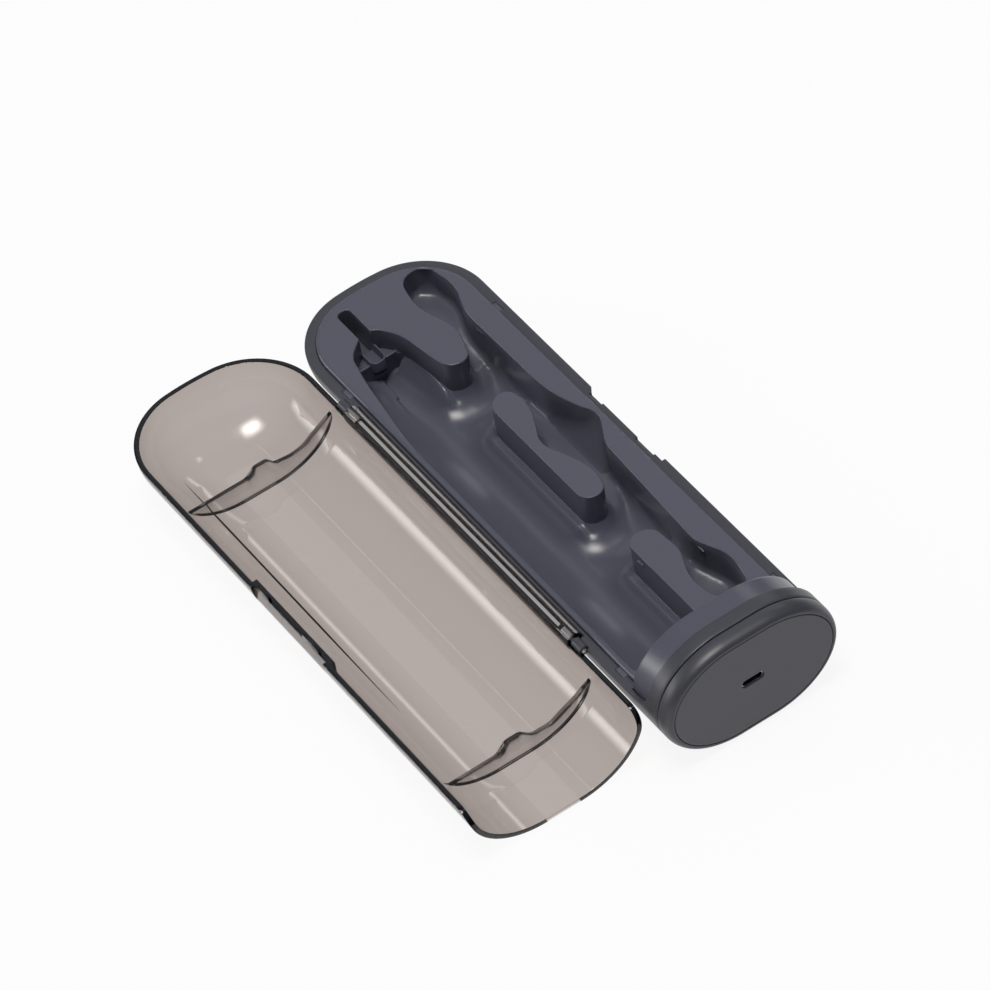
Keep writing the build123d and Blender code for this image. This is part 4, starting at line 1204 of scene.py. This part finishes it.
def endPlate():
    bag = newBag()
    length, inset, r = case["length"], cap["plateInset"], 0.35
    low = length - cap["plateThick"]
    grow = port["clear"]
    rings = [portRing(low, grow), ovalRing(low, inset), ovalRing(length - r, inset),
             *[ovalRing(length - r + r * math.sin(t), inset + r - r * math.cos(t))
               for t in np.radians([30, 60])],
             ovalRing(length, inset + r), ovalRing(length, inset + r + 0.3), portRing(length, grow + 0.45),
             portRing(length, grow + 0.15),
             portRing(length - 0.05, grow + 0.05), portRing(length - 0.15, grow)]
    addGrid(bag, np.stack(rings), closeColumns=True, closeRows=True)
    return pieceFrom("endPlate", bag, "plate_black", "case", ["end_plate"], 30)


print("tray shell", len(trayShell().data.polygons))
print("insert", len(insertPiece().data.polygons))
print("lid", len(lidShell().data.polygons))
lidBar()
for ribName, rib in lid["ribs"].items():
    lidRib(ribName, rib)
lidHooks()
lidShadeBeads()
endCap()
endPlate()
print("foot made")

carried = {
    "hinge_pin_far": "pin_steel", "hinge_pin_foot": "pin_steel", "usb_port_shell": "port_steel",
    "usb_port_tongue": "port_black", "charger_board": "board_laminate", "controller_chip": "chip_black",
    "coil_capacitor": "capacitor_film", "input_choke": "ferrite", "charging_coil": "coil_copper",
    "coil_core": "ferrite", "coil_carrier": "carrier_white", "coil_leads": "coil_copper",
    "board_screws": "screw_steel", "cap_screws": "screw_steel",
}
for node, finish in carried.items():
    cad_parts[node].data.materials.clear()
    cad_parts[node].data.materials.append(materials[finish])


# Floor, light and camera.

# Each soft box has the direction of its middle, the direction its first size runs, its half sizes and how far
# its edges fade, all as shares of the distance.
studio = {
    "sky": (0.22, 0.24, 0.31),
    "horizon": (0.045, 0.05, 0.07),
    "floorColour": (0.86, 0.86, 0.86),
    "floorGlow": 0.9,
    "floorHalf": 3.0,  # metres
    "boxes": {
        "key": {"at": (0.04, -0.08, 0.99), "along": (0, 1, 0), "half": (0.20, 0.13), "fade": 0.15,
                "strength": 20.0, "colour": (1, 0.965, 0.92)},
        "side": {"at": (-0.61, -0.75, 0.26), "along": (1, 0, 0), "half": (0.34, 0.11), "fade": 0.12,
                 "strength": 6.0, "colour": (1, 0.99, 0.98)},
        "front": {"at": (-0.60, 0.33, 0.72), "along": (1, 0, 0), "half": (0.26, 0.20), "fade": 0.2,
                  "strength": 0.4, "colour": (0.95, 0.97, 1)},
        "thin": {"at": (-0.61, 0.07, 0.79), "along": (1, 0, 0), "half": (0.3, 0.006), "fade": 0.012,
                 "strength": 2.2, "colour": (1, 1, 1)},
        "low": {"at": (-0.61, 0.62, 0.47), "along": (1, 0, 0), "half": (0.3, 0.03), "fade": 0.05,
                "strength": 4.0, "colour": (1, 1, 1)},
        "window": {"at": (-0.02, 0.42, 0.90), "along": (1, 0, 0), "half": (0.05, 0.05), "fade": 0.04,
                   "strength": 4.0, "colour": (1, 0.99, 0.98)},
    },
}


def floorMaterial():
    material, tree, shader = newMaterial("studioFloor")
    setInputs(tree, shader, {"Base Color": (*studio["floorColour"], 1), "Roughness": 0.7})
    glow = addNode(tree, "Emission", {})
    rays = addNode(tree, "LightPath", {}).outputs
    seen = rays["Is Camera Ray"]
    for ray in ("Is Transmission Ray", "Is Glossy Ray"):
        seen = addNode(tree, "Math", {0: seen, 1: rays[ray]}, operation="MAXIMUM").outputs[0]
    share = addNode(tree, "Math", {0: seen, 1: studio["floorGlow"]}, operation="MULTIPLY")
    both = addNode(tree, "MixShader", {0: share.outputs[0], 1: shader.outputs[0], 2: glow.outputs[0]})
    setInputs(tree, tree.nodes["Material Output"], {"Surface": both.outputs[0]})
    return material


def studioFloor():
    half = studio["floorHalf"]
    mesh = bpy.data.meshes.new("studioFloor")
    mesh.from_pydata([(-half, -half, 0), (half, -half, 0), (half, half, 0), (-half, half, 0)], [],
                     [(0, 1, 2, 3)])
    mesh.materials.append(floorMaterial())
    floor = bpy.data.objects.new("studioFloor", mesh)
    bpy.context.scene.collection.objects.link(floor)


# How much of a soft box is seen in a direction: one inside its half sizes, fading to none over fade.
def softBoxGroup():
    group, given, out = newGroup(
        "softBox",
        [("Direction", "Vector", (0, 0, 1)), ("Facing", "Vector", (0, 0, 1)), ("Along", "Vector", (1, 0, 0)),
         ("Across", "Vector", (0, 1, 0)), ("Half Along", "Float", 0.2), ("Half Across", "Float", 0.2),
         ("Fade", "Float", 0.1), ("Strength", "Float", 1.0)],
        [("Light", "Float")])
    given = given.outputs

    def joined(kind, *values):
        return addNode(group, "Math", dict(enumerate(values)), operation=kind).outputs[0]

    def shareOf(axis):
        return addNode(group, "VectorMath", {0: given["Direction"], 1: given[axis]},
                       operation="DOT_PRODUCT").outputs["Value"]

    ahead = shareOf("Facing")
    light = joined("MULTIPLY", joined("GREATER_THAN", ahead, 0.0), given["Strength"])
    for axis in ("Along", "Across"):
        off = joined("ABSOLUTE", joined("DIVIDE", shareOf(axis), ahead))
        half = given["Half " + axis]
        fall = addNode(group, "MapRange", {
            "Value": off, "From Min": joined("ADD", half, given["Fade"]),
            "From Max": joined("SUBTRACT", half, given["Fade"])}, interpolation_type="SMOOTHSTEP")
        light = joined("MULTIPLY", light, fall.outputs[0])
    setInputs(group, out, {"Light": light})
    return group


def studioWorld():
    world = bpy.data.worlds.new("studio")
    world.use_nodes = True
    tree = world.node_tree
    toward = addNode(tree, "TexCoord", {}).outputs["Generated"]
    height = addNode(tree, "SeparateXYZ", {0: toward}).outputs["Z"]
    rise = addNode(tree, "MapRange", {"Value": height, "From Min": 0.1, "From Max": 1.0},
                   interpolation_type="SMOOTHSTEP")
    total = addNode(tree, "Mix", {"Factor": rise.outputs[0], "A": (*studio["horizon"], 1),
                                  "B": (*studio["sky"], 1)}, data_type="RGBA").outputs["Result"]
    shape = softBoxGroup()
    for name, box in studio["boxes"].items():
        facing = Vector(box["at"]).normalized()
        across = facing.cross(Vector(box["along"])).normalized()
        lit = addNode(tree, "Group", {
            "Direction": toward, "Facing": facing, "Along": across.cross(facing), "Across": across,
            "Half Along": box["half"][0], "Half Across": box["half"][1], "Fade": box["fade"],
            "Strength": box["strength"]}, node_tree=shape, label=name)
        tinted = addNode(tree, "VectorMath", {0: box["colour"], "Scale": lit.outputs["Light"]},
                         operation="SCALE")
        total = addNode(tree, "VectorMath", {0: total, 1: tinted.outputs[0]}, operation="ADD").outputs[0]
    rays = addNode(tree, "LightPath", {}).outputs
    pick = addNode(tree, "Mix", {"Factor": rays["Is Camera Ray"], "A": total, "B": (1, 1, 1, 1)},
                   data_type="RGBA")
    setInputs(tree, tree.nodes["Background"], {"Color": pick.outputs["Result"]})
    bpy.context.scene.world = world


# Degrees and millimetres.
shot = {"azimuth": 63.70, "elevation": 47.17, "roll": -10.80, "target": (-4.76, 17.14, 24.0), "away": 2291.85,
        "lens": 237.41, "sensor": 36}


def camera():
    azimuth, elevation, roll = (math.radians(shot[key]) for key in ("azimuth", "elevation", "roll"))
    level = math.cos(elevation)
    back = Vector((math.sin(azimuth) * level, -math.cos(azimuth) * level, math.sin(elevation)))
    right = Vector((math.cos(azimuth), math.sin(azimuth), 0))
    up = back.cross(right)
    across = right * math.cos(roll) + up * math.sin(roll)
    above = -right * math.sin(roll) + up * math.cos(roll)
    eye = Vector(shot["target"]) * mm + back * shot["away"] * mm
    data = bpy.data.cameras.new("camera")
    data.sensor_width = shot["sensor"]
    data.lens = shot["lens"]
    data.clip_end = 20
    holder = bpy.data.objects.new("camera", data)
    turned = np.eye(4)
    turned[:3, 0], turned[:3, 1], turned[:3, 2], turned[:3, 3] = across, above, back, eye
    holder.matrix_world = Matrix(turned.tolist())
    bpy.context.scene.collection.objects.link(holder)
    bpy.context.scene.camera = holder


studioFloor()
studioWorld()
camera()
bpy.context.scene.view_settings.view_transform = "Standard"
print("studio made")
